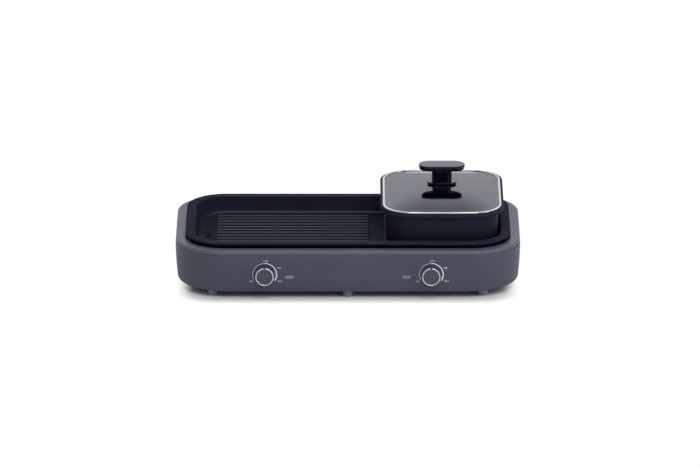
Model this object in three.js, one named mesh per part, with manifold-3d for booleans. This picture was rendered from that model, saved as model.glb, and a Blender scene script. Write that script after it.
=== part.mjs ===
// A countertop cooker: a ridged griddle tray with a lift-out pot and a glass lid.
// Millimetres, +Z up. The origin lies on the worktop under the middle of the
// cooker, +X is to the right, and the two control knobs face -Y.
import * as THREE from 'three';
import { mergeVertices } from 'three/addons/utils/BufferGeometryUtils.js';
import Module from 'manifold-3d';

const wasm = await Module();
wasm.setup();

// Fits shared by all pieces
const seat = 0.3;
const slip = 0.5;
const overrun = 6;

// How finely curves are divided
const planSteps = 6;
const smallSteps = 3;
const curveSteps = 3;
const turnSteps = 10;
const screwSteps = 8;
const tubeSides = 8;
const wireSides = 6;
const tubeBendSteps = 3;
const wireBendSteps = 2;

// Case shell: outline, leaning wall, rounded foot
const caseWidth = 560;
const caseDepth = 300;
const caseCorner = 80;
const caseFootCorner = caseCorner + 0.15 * caseCorner;
const caseLean = 3;
const caseRound = 6;
const caseWall = 3;
const caseFoot = 11;
const caseSeam = 75;
const seamBreak = 0.8;
const footLip = 2;

// Ring that closes the top of the case
const ringRise = 7;
const ringTop = caseSeam + ringRise;
const ringSetback = 0.6;
const ringEdge = 2.4;
const ringWall = 2.5;
const mouthInset = 17.5;
const skirtDrop = 9;
const skirtFoot = caseSeam - skirtDrop;
const lipDrop = 4;
const lipWall = 1.7;
const ringBoss = 3.6;

// Griddle tray
const trayRise = 8;
const trayTop = ringTop + trayRise;
const trayEndGap = 16;
const traySideGap = 17;
const trayWidth = caseWidth - 2 * trayEndGap;
const trayDepth = caseDepth - 2 * traySideGap;
const trayCorner = caseCorner - trayEndGap;
const rimThick = 3.5;
const rimWidth = 16;
const rimEdge = 1.4;
const trayHollow = 24;
const trayLedge = trayTop - trayHollow;
const ledgeDrop = 3.4;
const trayFloor = trayLedge - ledgeDrop;
const ledgeWidth = 10;
const ledgeRound = 1.5;
const ledgeSlope = 1;
const trayPlate = 4;
const trayLean = 4.5;
const trayFillet = 4;

// Plan of the pot, which stands at the right end of the tray
const potWidth = 200;
const potEndGap = 11;
const potSideGap = 14;
const potDepth = trayDepth - 2 * potSideGap;
const potX = trayWidth / 2 - potEndGap - potWidth / 2;
const potLeft = potX - potWidth / 2;

// Ridges on the left part of the tray, and the low bar beside them
const barWidth = 4;
const barMargin = 35;
const barLength = trayDepth - 2 * barMargin;
const barHeight = 3.4;
const barInset = 8;
const barPlace = potLeft + barInset;
const ridgeCount = 13;
const ridgeMargin = 44.8;
const ridgePitch = (trayDepth - 2 * ridgeMargin) / (ridgeCount - 1);
const ridgeEndGap = 48.5;
const ridgeLeft = -trayWidth / 2 + ridgeEndGap;
const ridgeBarGap = 27;
const ridgeRight = barPlace - ridgeBarGap;
const ridgeHeight = 3.6;
const ridgeFoot = 3.9;
const ridgeCrest = 3.1;
const ridgeEndRound = 1.2;

// Oil drain at the left end of the tray
const drainEndGap = 33;
const drainX = -trayWidth / 2 + drainEndGap;
const drainY = -4;
const dishLength = 28;
const dishWidth = 18;
const dishDepth = 3.2;
const drainBore = 12;
const spoutWall = 2.5;
const spoutDrop = 25.1;
const spoutFoot = trayFloor - spoutDrop;

// Cast legs under the tray
const legEndGap = 46;
const legX = trayWidth / 2 - legEndGap;
const legBarGap = 9;
const legMiddle = barPlace - legBarGap;
const legMargin = 49;
const legY = trayDepth / 2 - legMargin;
const legRadius = 5;
const legTaper = 0.8;

// Pot
const potCornerGap = 12;
const potCorner = trayCorner - potCornerGap;
const potHeight = 72.9;
const potTop = trayFloor + potHeight;
const potLip = 8;
const potBand = 7;
const potWall = 2.5;
const potPlate = 3.5;
const potFillet = 24;
const potLean = 3;
const potEdge = 1;
const lidSunk = 3.1;

// Lid
const lidSetback = 3.5;
const lidWidth = potWidth - 2 * lidSetback;
const lidDepth = potDepth - 2 * lidSetback;
const lidCorner = potCorner - lidSetback;
const rimSheet = 0.6;
const rimCurl = 3.6;
const glassThick = 2.2;
const glassCatch = 0.2;
const glassRise = 15.5;
const glassApex = potTop + glassRise;
const glassFlat = 5;
const domeRings = 4;
const domePower = 2.2;
const glassBore = 3;

// Lid knob
const collarLength = 49;
const collarWidth = 30;
const collarHeight = 3;
const collarEdge = 1;
const stemLength = 33;
const stemWidth = 19;
const stemHeight = 20.7;
const plateLength = 75;
const plateWidth = 36;
const plateHeight = 7.9;
const plateEdge = 2;
const plateTaper = 3.5;
const lidScrewRadius = 2;
const lidScrewHead = 4;
const lidScrewHeadHeight = 2.2;
const lidScrewLength = 24;
const washerRadius = 7;
const washerThick = 1;

// Heat shield under the tray
const shieldRise = 27.8;
const shieldFloor = caseFoot + shieldRise;
const shieldSheet = 1.2;
const shieldFlange = skirtFoot - shieldSheet - slip;
const shieldEndGap = 21;
const shieldSideGap = 26;
const shieldWidth = trayWidth - 2 * shieldEndGap;
const shieldDepth = trayDepth - 2 * shieldSideGap;
const shieldCorner = 0.7 * trayCorner;
const shieldSpread = 14;
const shieldDeepSpread = 18;
const shieldFillet = 4;
const flangeEndGap = 11;
const flangeSideGap = 9;
const flangeWidth = caseWidth - 2 * flangeEndGap;
const flangeDepth = caseDepth - 2 * flangeSideGap;
const flangeCorner = caseCorner - flangeEndGap;
const shieldScrewX = 0.34 * caseWidth;
const shieldScrewInset = 13;
const shieldScrewY = caseDepth / 2 - shieldScrewInset;

// Heating tubes and their cradles
const heaterRadius = 3.3;
const heaterBend = 18;
const heaterTail = 4.8;
const heaterEnd = shieldFloor - heaterTail;
const heaterMargin = 73;
const heaterInset = 20;
const griddleHeaterLeft = ridgeLeft + heaterInset;
const griddleHeaterRight = ridgeRight - heaterInset;
const griddleHeaterPin = ridgeRight;
const griddleHeaterOuter = trayDepth / 2 - heaterMargin;
const griddleHeaterInner = griddleHeaterOuter / 3;
const griddleHeaterTurn = griddleHeaterLeft + 0.22 * (ridgeRight - ridgeLeft);
const potHeaterInset = 46;
const potHeaterLeft = potLeft + potHeaterInset;
const potHeaterRight = potX + potWidth / 2 - potHeaterInset;
const potPinInset = 25;
const potHeaterPin = potLeft + potPinInset;
const potHeaterHalf = griddleHeaterOuter;
const potHeaterMouth = 10;
const cradleThick = 1.5;
const cradleFlange = 9;
const cradleOverhang = 7;

// Bottom cover
const coverThick = 2.5;
const coverScrewX = 0.304 * caseWidth;
const coverScrewInset = 17;
const coverScrewY = caseDepth / 2 - coverScrewInset;
const bossRadius = 4.5;
const bossHeight = 22;
const bossWeb = 3;
const ventCount = 6;
const ventPitch = 11;
const ventWidth = 4.5;
const ventLength = 60;
const ventX = caseWidth / 8;
const ventY = -38;

// Feet
const footX = caseWidth / 2 - 0.7625 * caseCorner;
const footInset = 28;
const footY = caseDepth / 2 - footInset;
const middleFootInset = 21.5;
const middleFootY = caseDepth / 2 - middleFootInset;
const footRadius = 8.5;
const footTaper = 1;
const footNeck = 3.5;
const footHead = 5;
const footHeadHeight = 3;

// Screws
const screwRadius = 1.5;
const screwHead = 3;
const screwHeadHeight = 1.8;
const screwLength = 13;
const shieldScrewLength = 9;

// Controls on the front
const knobX = 0.2405 * caseWidth;
const knobZ = caseFoot + 0.4844 * (caseSeam - caseFoot);
const knobRadius = 14.7;
const knobReach = 13;
const knobSkin = 1.8;
const knobHub = 5.6;
const knobBack = 0.8;
const knobDraft = 0.8;
const knobFace = 0.5;
const knobRingWidth = 1.6;
const knobRingDeep = 4.2;
const pointerWidth = 2.6;
const shaftRadius = 3;
const shaftInner = -19;
const shaftOuter = 9.4;
const bushRadius = 4.4;
const bushReach = 3.5;
const thermoBodyX = 11;
const thermoBodyZ = 10;
const thermoPlateX = 14;
const thermoPlateZ = 12;
const thermoPlateThick = 1.5;
const thermoDeep = 15;
const bladeX = 6;
const bladeThick = 0.8;
const bladeWidth = 3;
const bladeReach = 7;

// Indicator lamps
const lampGap = 40.1;
const lampX = knobX - lampGap;
const lampDrop = 4.4;
const lampZ = knobZ - lampDrop;
const lensWidth = 15.4;
const lensHeight = 6;
const lensFlange = 1.8;
const lensProud = 0.1;
const lampRadius = 3;
const lampLength = 14;

// Power inlet in the back wall
const inletDrop = 2;
const inletZ = knobZ - inletDrop;
const inletWidth = 25.4;
const inletHeight = 19.4;
const inletCorner = 3;
const inletSetback = 1.4;
const inletDeep = 22;
const inletWall = 2.5;
const inletFlange = 3.5;
const inletFlangeThick = 2;
const pinRadius = 1.6;
const pinReach = 9;
const pinTail = 4;
const pinX = 6;
const pinRise = 3;
const pinDrop = 3.2;

// Terminal block and wires
const blockY = caseDepth / 4;
const blockLength = 44;
const blockWidth = 18;
const blockHeight = 15;
const blockPitch = 14;
const blockBore = 3;
const blockLevel = 22;
const wireRadius = 1.1;
const wireBend = 3;

// Oil drawer in the left end
const drawerLength = 76;
const drawerWidth = 63;
const drawerY = -12;
const drawerFoot = 17.6;
const drawerTop = 36;
const drawerCupTop = 33;
const drawerWall = 2;
const drawerFront = 9;
const drawerCorner = 5;
const scoopRadius = 15;
const scoopDeep = 5;
const railThick = 3;
const railLength = 1.1 * drawerLength;
const railRise = 3;

const slate = new THREE.MeshStandardMaterial({ color: 0x4b4f5a, roughness: 0.45, metalness: 0.1 });
const slateLight = new THREE.MeshStandardMaterial({ color: 0x676a73, roughness: 0.4, metalness: 0.15 });
const nonStick = new THREE.MeshStandardMaterial({ color: 0x25262d, roughness: 0.4, metalness: 0.3 });
const blackPlastic = new THREE.MeshStandardMaterial({ color: 0x15161b, roughness: 0.35, metalness: 0 });
const rubber = new THREE.MeshStandardMaterial({ color: 0x1b1b1e, roughness: 0.8, metalness: 0 });
const chrome = new THREE.MeshStandardMaterial({ color: 0xe6e8eb, roughness: 0.12, metalness: 1 });
const steel = new THREE.MeshStandardMaterial({ color: 0xb9bcc0, roughness: 0.35, metalness: 1 });
const glass = new THREE.MeshStandardMaterial({ color: 0x84868b, roughness: 0.05, metalness: 0 });
const lensPlastic = new THREE.MeshStandardMaterial({ color: 0x8b8f9c, roughness: 0.25, metalness: 0 });
const ceramic = new THREE.MeshStandardMaterial({ color: 0xd9d4c6, roughness: 0.6, metalness: 0 });
const brass = new THREE.MeshStandardMaterial({ color: 0xb89a55, roughness: 0.3, metalness: 1 });
const redWire = new THREE.MeshStandardMaterial({ color: 0x8e2a25, roughness: 0.5, metalness: 0 });
const greenWire = new THREE.MeshStandardMaterial({ color: 0x4f7a3a, roughness: 0.5, metalness: 0 });

// Points round a rectangle with rounded corners, anticlockwise from above.
function ring(halfX, halfY, corner, z, steps = planSteps) {
  const radius = Math.min(corner, halfX, halfY);
  const points = [];
  const signs = [[1, 1], [-1, 1], [-1, -1], [1, -1]];
  for (const [quarter, [signX, signY]] of signs.entries()) {
    const centreX = signX * (halfX - radius);
    const centreY = signY * (halfY - radius);
    for (let step = 0; step <= steps; step += 1) {
      const angle = (quarter + step / steps) * Math.PI / 2;
      const x = centreX + radius * Math.cos(angle);
      const y = centreY + radius * Math.sin(angle);
      points.push(new THREE.Vector3(x, y, z));
    }
  }
  return points;
}

// Skins a stack of rings. A closed stack joins its last ring to its first; an
// open one gets a flat face at each end.
function loft(rings, closed = false) {
  const count = rings[0].length;
  const positions = rings.flat().flatMap((point) => point.toArray());
  const indices = [];
  const bands = closed ? rings.length : rings.length - 1;
  for (let band = 0; band < bands; band += 1) {
    const low = band * count;
    const high = ((band + 1) % rings.length) * count;
    for (let i = 0; i < count; i += 1) {
      const j = (i + 1) % count;
      indices.push(low + i, low + j, high + j);
      indices.push(low + i, high + j, high + i);
    }
  }
  if (!closed) {
    const top = (rings.length - 1) * count;
    for (let i = 1; i < count - 1; i += 1) {
      indices.push(0, i + 1, i);
      indices.push(top, top + i, top + i + 1);
    }
  }
  const geometry = new THREE.BufferGeometry();
  geometry.setAttribute('position', new THREE.Float32BufferAttribute(positions, 3));
  geometry.setIndex(indices);
  geometry.computeVertexNormals();
  return geometry;
}

// Carries a section round a rounded rectangle. The section's x is the distance
// inward from the outline and its y is the height.
function sweepRound(section, width, depth, corner, closed = false, steps = planSteps) {
  const cornerAt = typeof corner === 'function' ? corner : () => corner;
  const rings = section.getPoints(curveSteps).map((point) => ring(
    width / 2 - point.x,
    depth / 2 - point.x,
    cornerAt(point.y) - point.x,
    point.y,
    steps,
  ));
  return loft(rings, closed);
}

// An upright block with rounded corners between two heights.
function block(width, depth, corner, low, high, steps = smallSteps) {
  const rings = [low, high].map((z) => ring(width / 2, depth / 2, corner, z, steps));
  return loft(rings);
}

// A solid turned about the Z axis. The profile runs from the axis at the
// bottom to the axis at the top, or closes on itself, as [radius, height].
function turned(profile, steps = turnSteps) {
  const points = profile.map(([radius, height]) => new THREE.Vector2(radius, height));
  return new THREE.LatheGeometry(points, steps).rotateX(Math.PI / 2);
}

function disc(radius, low, high, steps = turnSteps) {
  return turned([[0, low], [radius, low], [radius, high], [0, high]], steps);
}

function toSolid(geometry) {
  const bare = geometry.clone();
  bare.deleteAttribute('normal');
  bare.deleteAttribute('uv');
  const merged = mergeVertices(bare);
  const index = merged.index.array;
  const triangles = [];
  for (let i = 0; i < index.length; i += 3) {
    const [a, b, c] = index.slice(i, i + 3);
    if (a !== b && b !== c && c !== a) {
      triangles.push(a, b, c);
    }
  }
  const vertProperties = new Float32Array(merged.attributes.position.array);
  const triVerts = new Uint32Array(triangles);
  return new wasm.Manifold(new wasm.Mesh({ numProp: 3, vertProperties, triVerts }));
}

function toGeometry(solid) {
  const mesh = solid.getMesh();
  const geometry = new THREE.BufferGeometry();
  geometry.setAttribute('position', new THREE.BufferAttribute(mesh.vertProperties, 3));
  geometry.setIndex(new THREE.BufferAttribute(mesh.triVerts, 1));
  geometry.computeVertexNormals();
  return geometry;
}

// Adds the joined pieces to a body and takes the cut ones away.
function carve(body, joined, cuts = []) {
  let solid = toSolid(body);
  for (const piece of joined) {
    solid = solid.add(toSolid(piece));
  }
  for (const piece of cuts) {
    solid = solid.subtract(toSolid(piece));
  }
  return toGeometry(solid);
}

function overlapOf(first, second) {
  return toGeometry(toSolid(first).intersect(toSolid(second)));
}

// A path that keeps exactly the stations it is given, so straight runs cost nothing.
class StationPath extends THREE.Curve {
  constructor(stations) {
    super();
    this.stations = stations;
  }

  getPoint(t, target = new THREE.Vector3()) {
    const last = this.stations.length - 1;
    const index = Math.min(Math.floor(t * last), last - 1);
    return target.lerpVectors(this.stations[index], this.stations[index + 1], t * last - index);
  }

  getPointAt(u, target) {
    return this.getPoint(u, target);
  }

  getTangentAt(u, target = new THREE.Vector3()) {
    const last = this.stations.length - 1;
    const index = Math.round(u * last);
    const before = this.stations[Math.max(index - 1, 0)];
    const after = this.stations[Math.min(index + 1, last)];
    return target.subVectors(after, before).normalize();
  }
}

// A round tube through corner points, with each corner bent to a radius.
function bentTube(corners, radius, bend, sides, bendSteps) {
  const points = corners.map((corner) => new THREE.Vector3(...corner));
  const stations = [points[0]];
  for (let i = 1; i < points.length - 1; i += 1) {
    const back = points[i - 1].clone().sub(points[i]);
    const ahead = points[i + 1].clone().sub(points[i]);
    const reach = Math.min(bend, back.length() / 2, ahead.length() / 2);
    const curve = new THREE.QuadraticBezierCurve3(
      points[i].clone().add(back.setLength(reach)),
      points[i],
      points[i].clone().add(ahead.setLength(reach)),
    );
    stations.push(...curve.getPoints(bendSteps));
  }
  stations.push(points[points.length - 1]);
  const apart = (point, i) => i === 0 || point.distanceTo(stations[i - 1]) > radius / 8;
  const kept = stations.filter(apart);
  const section = new THREE.Shape();
  section.absarc(0, 0, radius, 0, Math.PI * 2, false);
  return new THREE.ExtrudeGeometry(section, {
    steps: kept.length - 1,
    curveSegments: sides / 2,
    extrudePath: new StationPath(kept),
    bevelEnabled: false,
  });
}

function named(name, geometry, material, x = 0, y = 0, z = 0) {
  const mesh = new THREE.Mesh(geometry, material);
  mesh.name = name;
  mesh.position.set(x, y, z);
  return mesh;
}

// The plan corner of the case wall grows from the seam down to the foot.
function caseCornerAt(z) {
  const drop = (caseSeam - z) / (caseSeam - caseFoot);
  return caseCorner + (caseFootCorner - caseCorner) * drop;
}

// The outside of the case wall, from the foot up to the seam.
function caseOutside() {
  const section = new THREE.Path();
  section.moveTo(caseLean + caseRound, caseFoot);
  section.quadraticCurveTo(caseLean, caseFoot, caseLean, caseFoot + caseRound);
  section.quadraticCurveTo(0, (caseFoot + caseSeam) / 2, 0, caseSeam - seamBreak);
  section.lineTo(seamBreak, caseSeam);
  return section;
}

function makeCase() {
  const section = caseOutside();
  section.lineTo(caseWall, caseSeam);
  section.lineTo(caseWall + caseLean, caseFoot + caseRound);
  section.lineTo(caseLean + caseRound + footLip, caseFoot);
  const shell = sweepRound(section, caseWidth, caseDepth, caseCornerAt, true);
  const bossLow = caseFoot + coverThick + slip + seat;
  const joined = [];
  const cuts = [];
  for (const sideX of [-1, 1]) {
    for (const sideY of [-1, 1]) {
      const x = sideX * coverScrewX;
      const y = sideY * coverScrewY;
      const webEnd = caseDepth / 2 - caseLean - caseWall / 2;
      const webMiddle = sideY * (coverScrewY + webEnd) / 2;
      const web = block(bossWeb, webEnd - coverScrewY, 0.1 * bossWeb, bossLow, bossLow + bossHeight);
      joined.push(disc(bossRadius, bossLow, bossLow + bossHeight, screwSteps).translate(x, y, 0));
      joined.push(web.translate(x, webMiddle, 0));
      const bore = disc(screwRadius + seat, bossLow - overrun, bossLow + screwLength, screwSteps);
      cuts.push(bore.translate(x, y, 0));
    }
  }
  const wallMiddle = caseWall + caseLean;
  for (const side of [-1, 1]) {
    const bushHole = disc(bushRadius + slip, -overrun - wallMiddle, overrun).rotateX(Math.PI / 2);
    cuts.push(bushHole.translate(side * knobX, -caseDepth / 2, knobZ));
    const lensHole = block(
      lensWidth + 2 * seat,
      lensHeight + 2 * seat,
      lensHeight / 2,
      -overrun - wallMiddle,
      overrun,
    ).rotateX(Math.PI / 2);
    cuts.push(lensHole.translate(side * lampX, -caseDepth / 2, lampZ));
  }
  const inletHole = block(
    inletWidth + 2 * slip,
    inletHeight + 2 * slip,
    inletCorner,
    -overrun - wallMiddle,
    overrun,
  ).rotateX(-Math.PI / 2);
  cuts.push(inletHole.translate(0, caseDepth / 2, inletZ));
  const drawerHole = block(
    2 * (drawerFront + overrun),
    drawerWidth + 2 * slip,
    drawerWall / 2,
    drawerFoot - slip,
    drawerTop + slip,
  );
  cuts.push(drawerHole.translate(-caseWidth / 2, drawerY, 0));
  return carve(shell, joined, cuts);
}

function makeTopRing() {
  const mouth = mouthInset;
  const under = ringTop - ringWall;
  const lipIn = caseWall + slip + seat;
  const section = new THREE.Path();
  section.moveTo(ringSetback, caseSeam + seat);
  section.lineTo(ringSetback, ringTop - ringEdge);
  section.quadraticCurveTo(ringSetback, ringTop, ringSetback + ringEdge, ringTop);
  section.lineTo(mouth - ringEdge, ringTop);
  section.quadraticCurveTo(mouth, ringTop, mouth, ringTop - ringEdge);
  section.lineTo(mouth, skirtFoot);
  section.lineTo(mouth - ringWall, skirtFoot);
  section.lineTo(mouth - ringWall, under);
  section.lineTo(lipIn + lipWall, under);
  section.lineTo(lipIn + lipWall, caseSeam - lipDrop);
  section.lineTo(lipIn, caseSeam - lipDrop);
  section.lineTo(lipIn, caseSeam + seat);
  const shell = sweepRound(section, caseWidth, caseDepth, caseCorner, true);
  const joined = [];
  const cuts = [];
  for (const sideX of [-1, 1]) {
    for (const sideY of [-1, 1]) {
      const x = sideX * shieldScrewX;
      const y = sideY * shieldScrewY;
      const boss = disc(ringBoss, skirtFoot, under + ringWall / 2, screwSteps);
      joined.push(boss.translate(x, y, 0));
      const boreTop = skirtFoot + shieldScrewLength;
      const bore = disc(screwRadius + seat, skirtFoot - overrun, boreTop, screwSteps);
      cuts.push(bore.translate(x, y, 0));
    }
  }
  return carve(shell, joined, cuts);
}

function makeBottomCover() {
  const inset = caseLean + caseRound + footLip + seat;
  const low = caseFoot + slip;
  const high = low + coverThick;
  const plate = block(
    caseWidth - 2 * inset,
    caseDepth - 2 * inset,
    caseFootCorner - inset,
    low,
    high,
    planSteps,
  );
  const joined = [];
  const cuts = [];
  for (const sideX of [-1, 1]) {
    for (const sideY of [-1, 1]) {
      const hole = disc(screwRadius + seat, low - overrun, high + overrun, screwSteps);
      cuts.push(hole.translate(sideX * coverScrewX, sideY * coverScrewY, 0));
    }
  }
  for (const [x, y] of footPlaces()) {
    cuts.push(disc(footNeck + seat, low - overrun, high + overrun).translate(x, y, 0));
  }
  for (const side of [-1, 1]) {
    for (let i = 0; i < ventCount; i += 1) {
      const x = side * ventX + (i - (ventCount - 1) / 2) * ventPitch;
      const slot = block(ventWidth, ventLength, ventWidth / 2, low - overrun, high + overrun, 1);
      cuts.push(slot.translate(x, ventY, 0));
    }
  }
  const railStart = -caseWidth / 2 + caseRound + caseLean + caseWall + footLip;
  for (const side of [-1, 1]) {
    const root = high - coverThick / 2;
    const railCorner = 0.1 * railThick;
    const runner = block(railLength, railThick, railCorner, root, drawerFoot - seat);
    const guide = block(railLength, railThick, railCorner, root, drawerFoot + railRise);
    const runnerY = drawerY + side * (drawerWidth / 2 - 2 * railThick);
    const guideY = drawerY + side * (drawerWidth / 2 + railThick / 2 + slip);
    joined.push(runner.translate(railStart + railLength / 2, runnerY, 0));
    joined.push(guide.translate(railStart + railLength / 2, guideY, 0));
  }
  return carve(plate, joined, cuts);
}

function footPlaces() {
  const places = [];
  for (const sideY of [-1, 1]) {
    places.push([-footX, sideY * footY]);
    places.push([0, sideY * middleFootY]);
    places.push([footX, sideY * footY]);
  }
  return places;
}

function makeFoot() {
  const top = caseFoot + slip - seat;
  const head = caseFoot + slip + coverThick + seat;
  return turned([
    [0, 0],
    [footRadius - footTaper, 0],
    [footRadius, footTaper],
    [footRadius - footTaper / 2, top],
    [footNeck, top],
    [footNeck, head],
    [footHead, head],
    [footNeck, head + footHeadHeight],
    [0, head + footHeadHeight],
  ]);
}

// A countersunk screw that points up from the origin under its head.
function makeScrew(length) {
  return turned([
    [0, -screwHeadHeight],
    [screwHead, -screwHeadHeight],
    [screwHead, -screwHeadHeight / 2],
    [screwRadius, 0],
    [screwRadius, length - screwRadius],
    [0, length],
  ], screwSteps);
}

function makeHeatShield() {
  const inner = shieldFloor + shieldSheet;
  const flangeHigh = shieldFlange + shieldSheet;
  const tier = (grow, growDeep, corner, z) => ring(
    shieldWidth / 2 + grow,
    shieldDepth / 2 + growDeep,
    corner,
    z,
  );
  const spreadCorner = shieldCorner + shieldSpread;
  const rings = [
    tier(-shieldFillet, -shieldFillet, shieldCorner - shieldFillet, shieldFloor),
    tier(0, 0, shieldCorner, shieldFloor + shieldFillet),
    tier(shieldSpread, shieldDeepSpread, spreadCorner, shieldFlange),
    ring(flangeWidth / 2, flangeDepth / 2, flangeCorner, shieldFlange),
    ring(flangeWidth / 2, flangeDepth / 2, flangeCorner, flangeHigh),
    tier(
      shieldSpread - shieldSheet,
      shieldDeepSpread - shieldSheet,
      spreadCorner - shieldSheet,
      flangeHigh,
    ),
    tier(-shieldSheet, -shieldSheet, shieldCorner - shieldSheet, inner + shieldFillet),
    tier(
      -shieldFillet - shieldSheet,
      -shieldFillet - shieldSheet,
      shieldCorner - shieldFillet - shieldSheet,
      inner,
    ),
  ];
  const through = (radius, x, y, steps) => disc(
    radius,
    shieldFloor - overrun,
    inner + overrun,
    steps,
  ).translate(x, y, 0);
  const cuts = [
    through(drainBore / 2 + spoutWall + 2 * slip, drainX, drainY, turnSteps),
    through(heaterRadius + 2 * slip, griddleHeaterPin, -griddleHeaterOuter, screwSteps),
    through(heaterRadius + 2 * slip, griddleHeaterPin, -griddleHeaterInner, screwSteps),
    through(heaterRadius + 2 * slip, potHeaterPin, -potHeaterMouth, screwSteps),
    through(heaterRadius + 2 * slip, potHeaterPin, potHeaterMouth, screwSteps),
  ];
  for (const sideX of [-1, 1]) {
    for (const sideY of [-1, 1]) {
      const hole = disc(screwRadius + seat, shieldFlange - overrun, flangeHigh + overrun, screwSteps);
      cuts.push(hole.translate(sideX * shieldScrewX, sideY * shieldScrewY, 0));
    }
  }
  return carve(loft(rings), [], cuts);
}

const heaterLevel = trayFloor - trayPlate - seat - heaterRadius;

function makeGriddleHeater() {
  const pin = griddleHeaterPin;
  const right = griddleHeaterRight;
  const inner = griddleHeaterInner;
  const outer = griddleHeaterOuter;
  return bentTube([
    [pin, -outer, heaterEnd],
    [pin, -outer, heaterLevel],
    [griddleHeaterLeft, -outer, heaterLevel],
    [griddleHeaterLeft, outer, heaterLevel],
    [right, outer, heaterLevel],
    [right, inner, heaterLevel],
    [griddleHeaterTurn, inner, heaterLevel],
    [griddleHeaterTurn, -inner, heaterLevel],
    [pin, -inner, heaterLevel],
    [pin, -inner, heaterEnd],
  ], heaterRadius, heaterBend, tubeSides, tubeBendSteps);
}

function makePotHeater() {
  return bentTube([
    [potHeaterPin, -potHeaterMouth, heaterEnd],
    [potHeaterPin, -potHeaterMouth, heaterLevel],
    [potHeaterLeft, -potHeaterMouth, heaterLevel],
    [potHeaterLeft, -potHeaterHalf, heaterLevel],
    [potHeaterRight, -potHeaterHalf, heaterLevel],
    [potHeaterRight, potHeaterHalf, heaterLevel],
    [potHeaterLeft, potHeaterHalf, heaterLevel],
    [potHeaterLeft, potHeaterMouth, heaterLevel],
    [potHeaterPin, potHeaterMouth, heaterLevel],
    [potHeaterPin, potHeaterMouth, heaterEnd],
  ], heaterRadius, heaterBend, tubeSides, tubeBendSteps);
}

// An upright sheet across the heating tube, with a notch under each pass.
function makeCradle(passes) {
  const low = shieldFloor + shieldSheet + seat;
  const half = Math.max(...passes) + cradleOverhang;
  const notch = heaterRadius + seat;
  const outline = new THREE.Shape();
  outline.moveTo(-half, low);
  outline.lineTo(half, low);
  outline.lineTo(half, heaterLevel);
  for (const pass of [...passes].sort((a, b) => b - a)) {
    outline.lineTo(pass + notch, heaterLevel);
    outline.absarc(pass, heaterLevel, notch, 0, Math.PI, true);
  }
  outline.lineTo(-half, heaterLevel);
  const sheet = new THREE.ExtrudeGeometry(outline, {
    depth: cradleThick,
    curveSegments: curveSteps,
    bevelEnabled: false,
  });
  const turn = new THREE.Matrix4().makeBasis(
    new THREE.Vector3(0, 1, 0),
    new THREE.Vector3(0, 0, 1),
    new THREE.Vector3(1, 0, 0),
  );
  sheet.applyMatrix4(turn).translate(-cradleThick / 2, 0, 0);
  const flange = block(cradleFlange, 2 * half, cradleThick, low, low + cradleThick, 2);
  return carve(sheet, [flange.translate(cradleFlange / 2 - cradleThick / 2, 0, 0)]);
}

function makeTray() {
  const under = trayFloor - trayPlate;
  const rimLow = trayTop - rimThick;
  const wallIn = rimWidth + trayLean;
  const wallOut = wallIn - trayPlate + rimEdge;
  const section = new THREE.Path();
  section.moveTo(wallOut + 2 * trayFillet, under);
  section.quadraticCurveTo(wallOut, under, wallOut, under + 2 * trayFillet);
  section.lineTo(rimWidth - rimThick, rimLow - rimEdge);
  section.lineTo(rimWidth - rimThick - rimEdge, rimLow);
  section.lineTo(rimEdge / 2, rimLow);
  section.lineTo(0, rimLow + rimEdge / 2);
  section.lineTo(0, trayTop - rimEdge);
  section.quadraticCurveTo(0, trayTop, rimEdge, trayTop);
  section.lineTo(rimWidth - 2 * rimEdge, trayTop);
  section.quadraticCurveTo(rimWidth, trayTop, rimWidth + rimEdge / 2, trayTop - 2 * rimEdge);
  section.lineTo(wallIn, trayLedge + ledgeRound);
  section.quadraticCurveTo(wallIn, trayLedge, wallIn + ledgeRound, trayLedge);
  section.lineTo(wallIn + ledgeWidth, trayLedge);
  section.lineTo(wallIn + ledgeWidth + ledgeSlope, trayFloor);
  const shell = sweepRound(section, trayWidth, trayDepth, trayCorner);
  const joined = [];
  const root = trayFloor - trayPlate / 2;
  for (let i = 0; i < ridgeCount; i += 1) {
    const y = ((ridgeCount - 1) / 2 - i) * ridgePitch;
    joined.push(makeRidge(ridgeRight - ridgeLeft, ridgeFoot, ridgeCrest, ridgeHeight, root)
      .translate((ridgeLeft + ridgeRight) / 2, y, 0));
  }
  joined.push(makeRidge(barLength, barWidth / 2, barWidth / 4, barHeight, root)
    .rotateZ(Math.PI / 2).translate(barPlace, 0, 0));
  const spoutRadius = drainBore / 2 + spoutWall;
  joined.push(turned([
    [0, spoutFoot],
    [spoutRadius - spoutWall / 2, spoutFoot],
    [spoutRadius, under - spoutRadius],
    [spoutRadius * 2, root],
    [0, root],
  ]).translate(drainX, drainY, 0));
  for (const x of [-legX, legMiddle, legX]) {
    for (const side of [-1, 1]) {
      const foot = shieldFloor + shieldSheet + seat;
      joined.push(turned([
        [0, foot],
        [legRadius - legTaper, foot],
        [legRadius + legTaper, root],
        [0, root],
      ], screwSteps).translate(x, side * legY, 0));
    }
  }
  const dish = new THREE.SphereGeometry(1, turnSteps, smallSteps * 2).rotateX(Math.PI / 2);
  dish.scale(dishWidth / 2, dishLength / 2, dishDepth).translate(drainX, drainY, trayFloor);
  const bore = disc(drainBore / 2, spoutFoot - overrun, trayFloor + overrun);
  return carve(shell, joined, [dish, bore.translate(drainX, drainY, 0)]);
}

// A long low ridge with blunt ends and a flat crest.
function makeRidge(length, footHalf, crestHalf, height, root) {
  const top = trayFloor + height;
  const tiers = [
    [footHalf, root],
    [footHalf, trayFloor],
    [(footHalf + crestHalf) / 2, top - height / 5],
    [crestHalf, top],
  ];
  const rings = tiers.map(([half, z]) => ring(
    length / 2 - footHalf + half,
    half,
    Math.min(half, ridgeEndRound),
    z,
    2,
  ));
  return loft(rings);
}

// The pot's lip has a step on its inner side in which the lid's ring sits.
const potStep = potTop - lidSunk;

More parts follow.
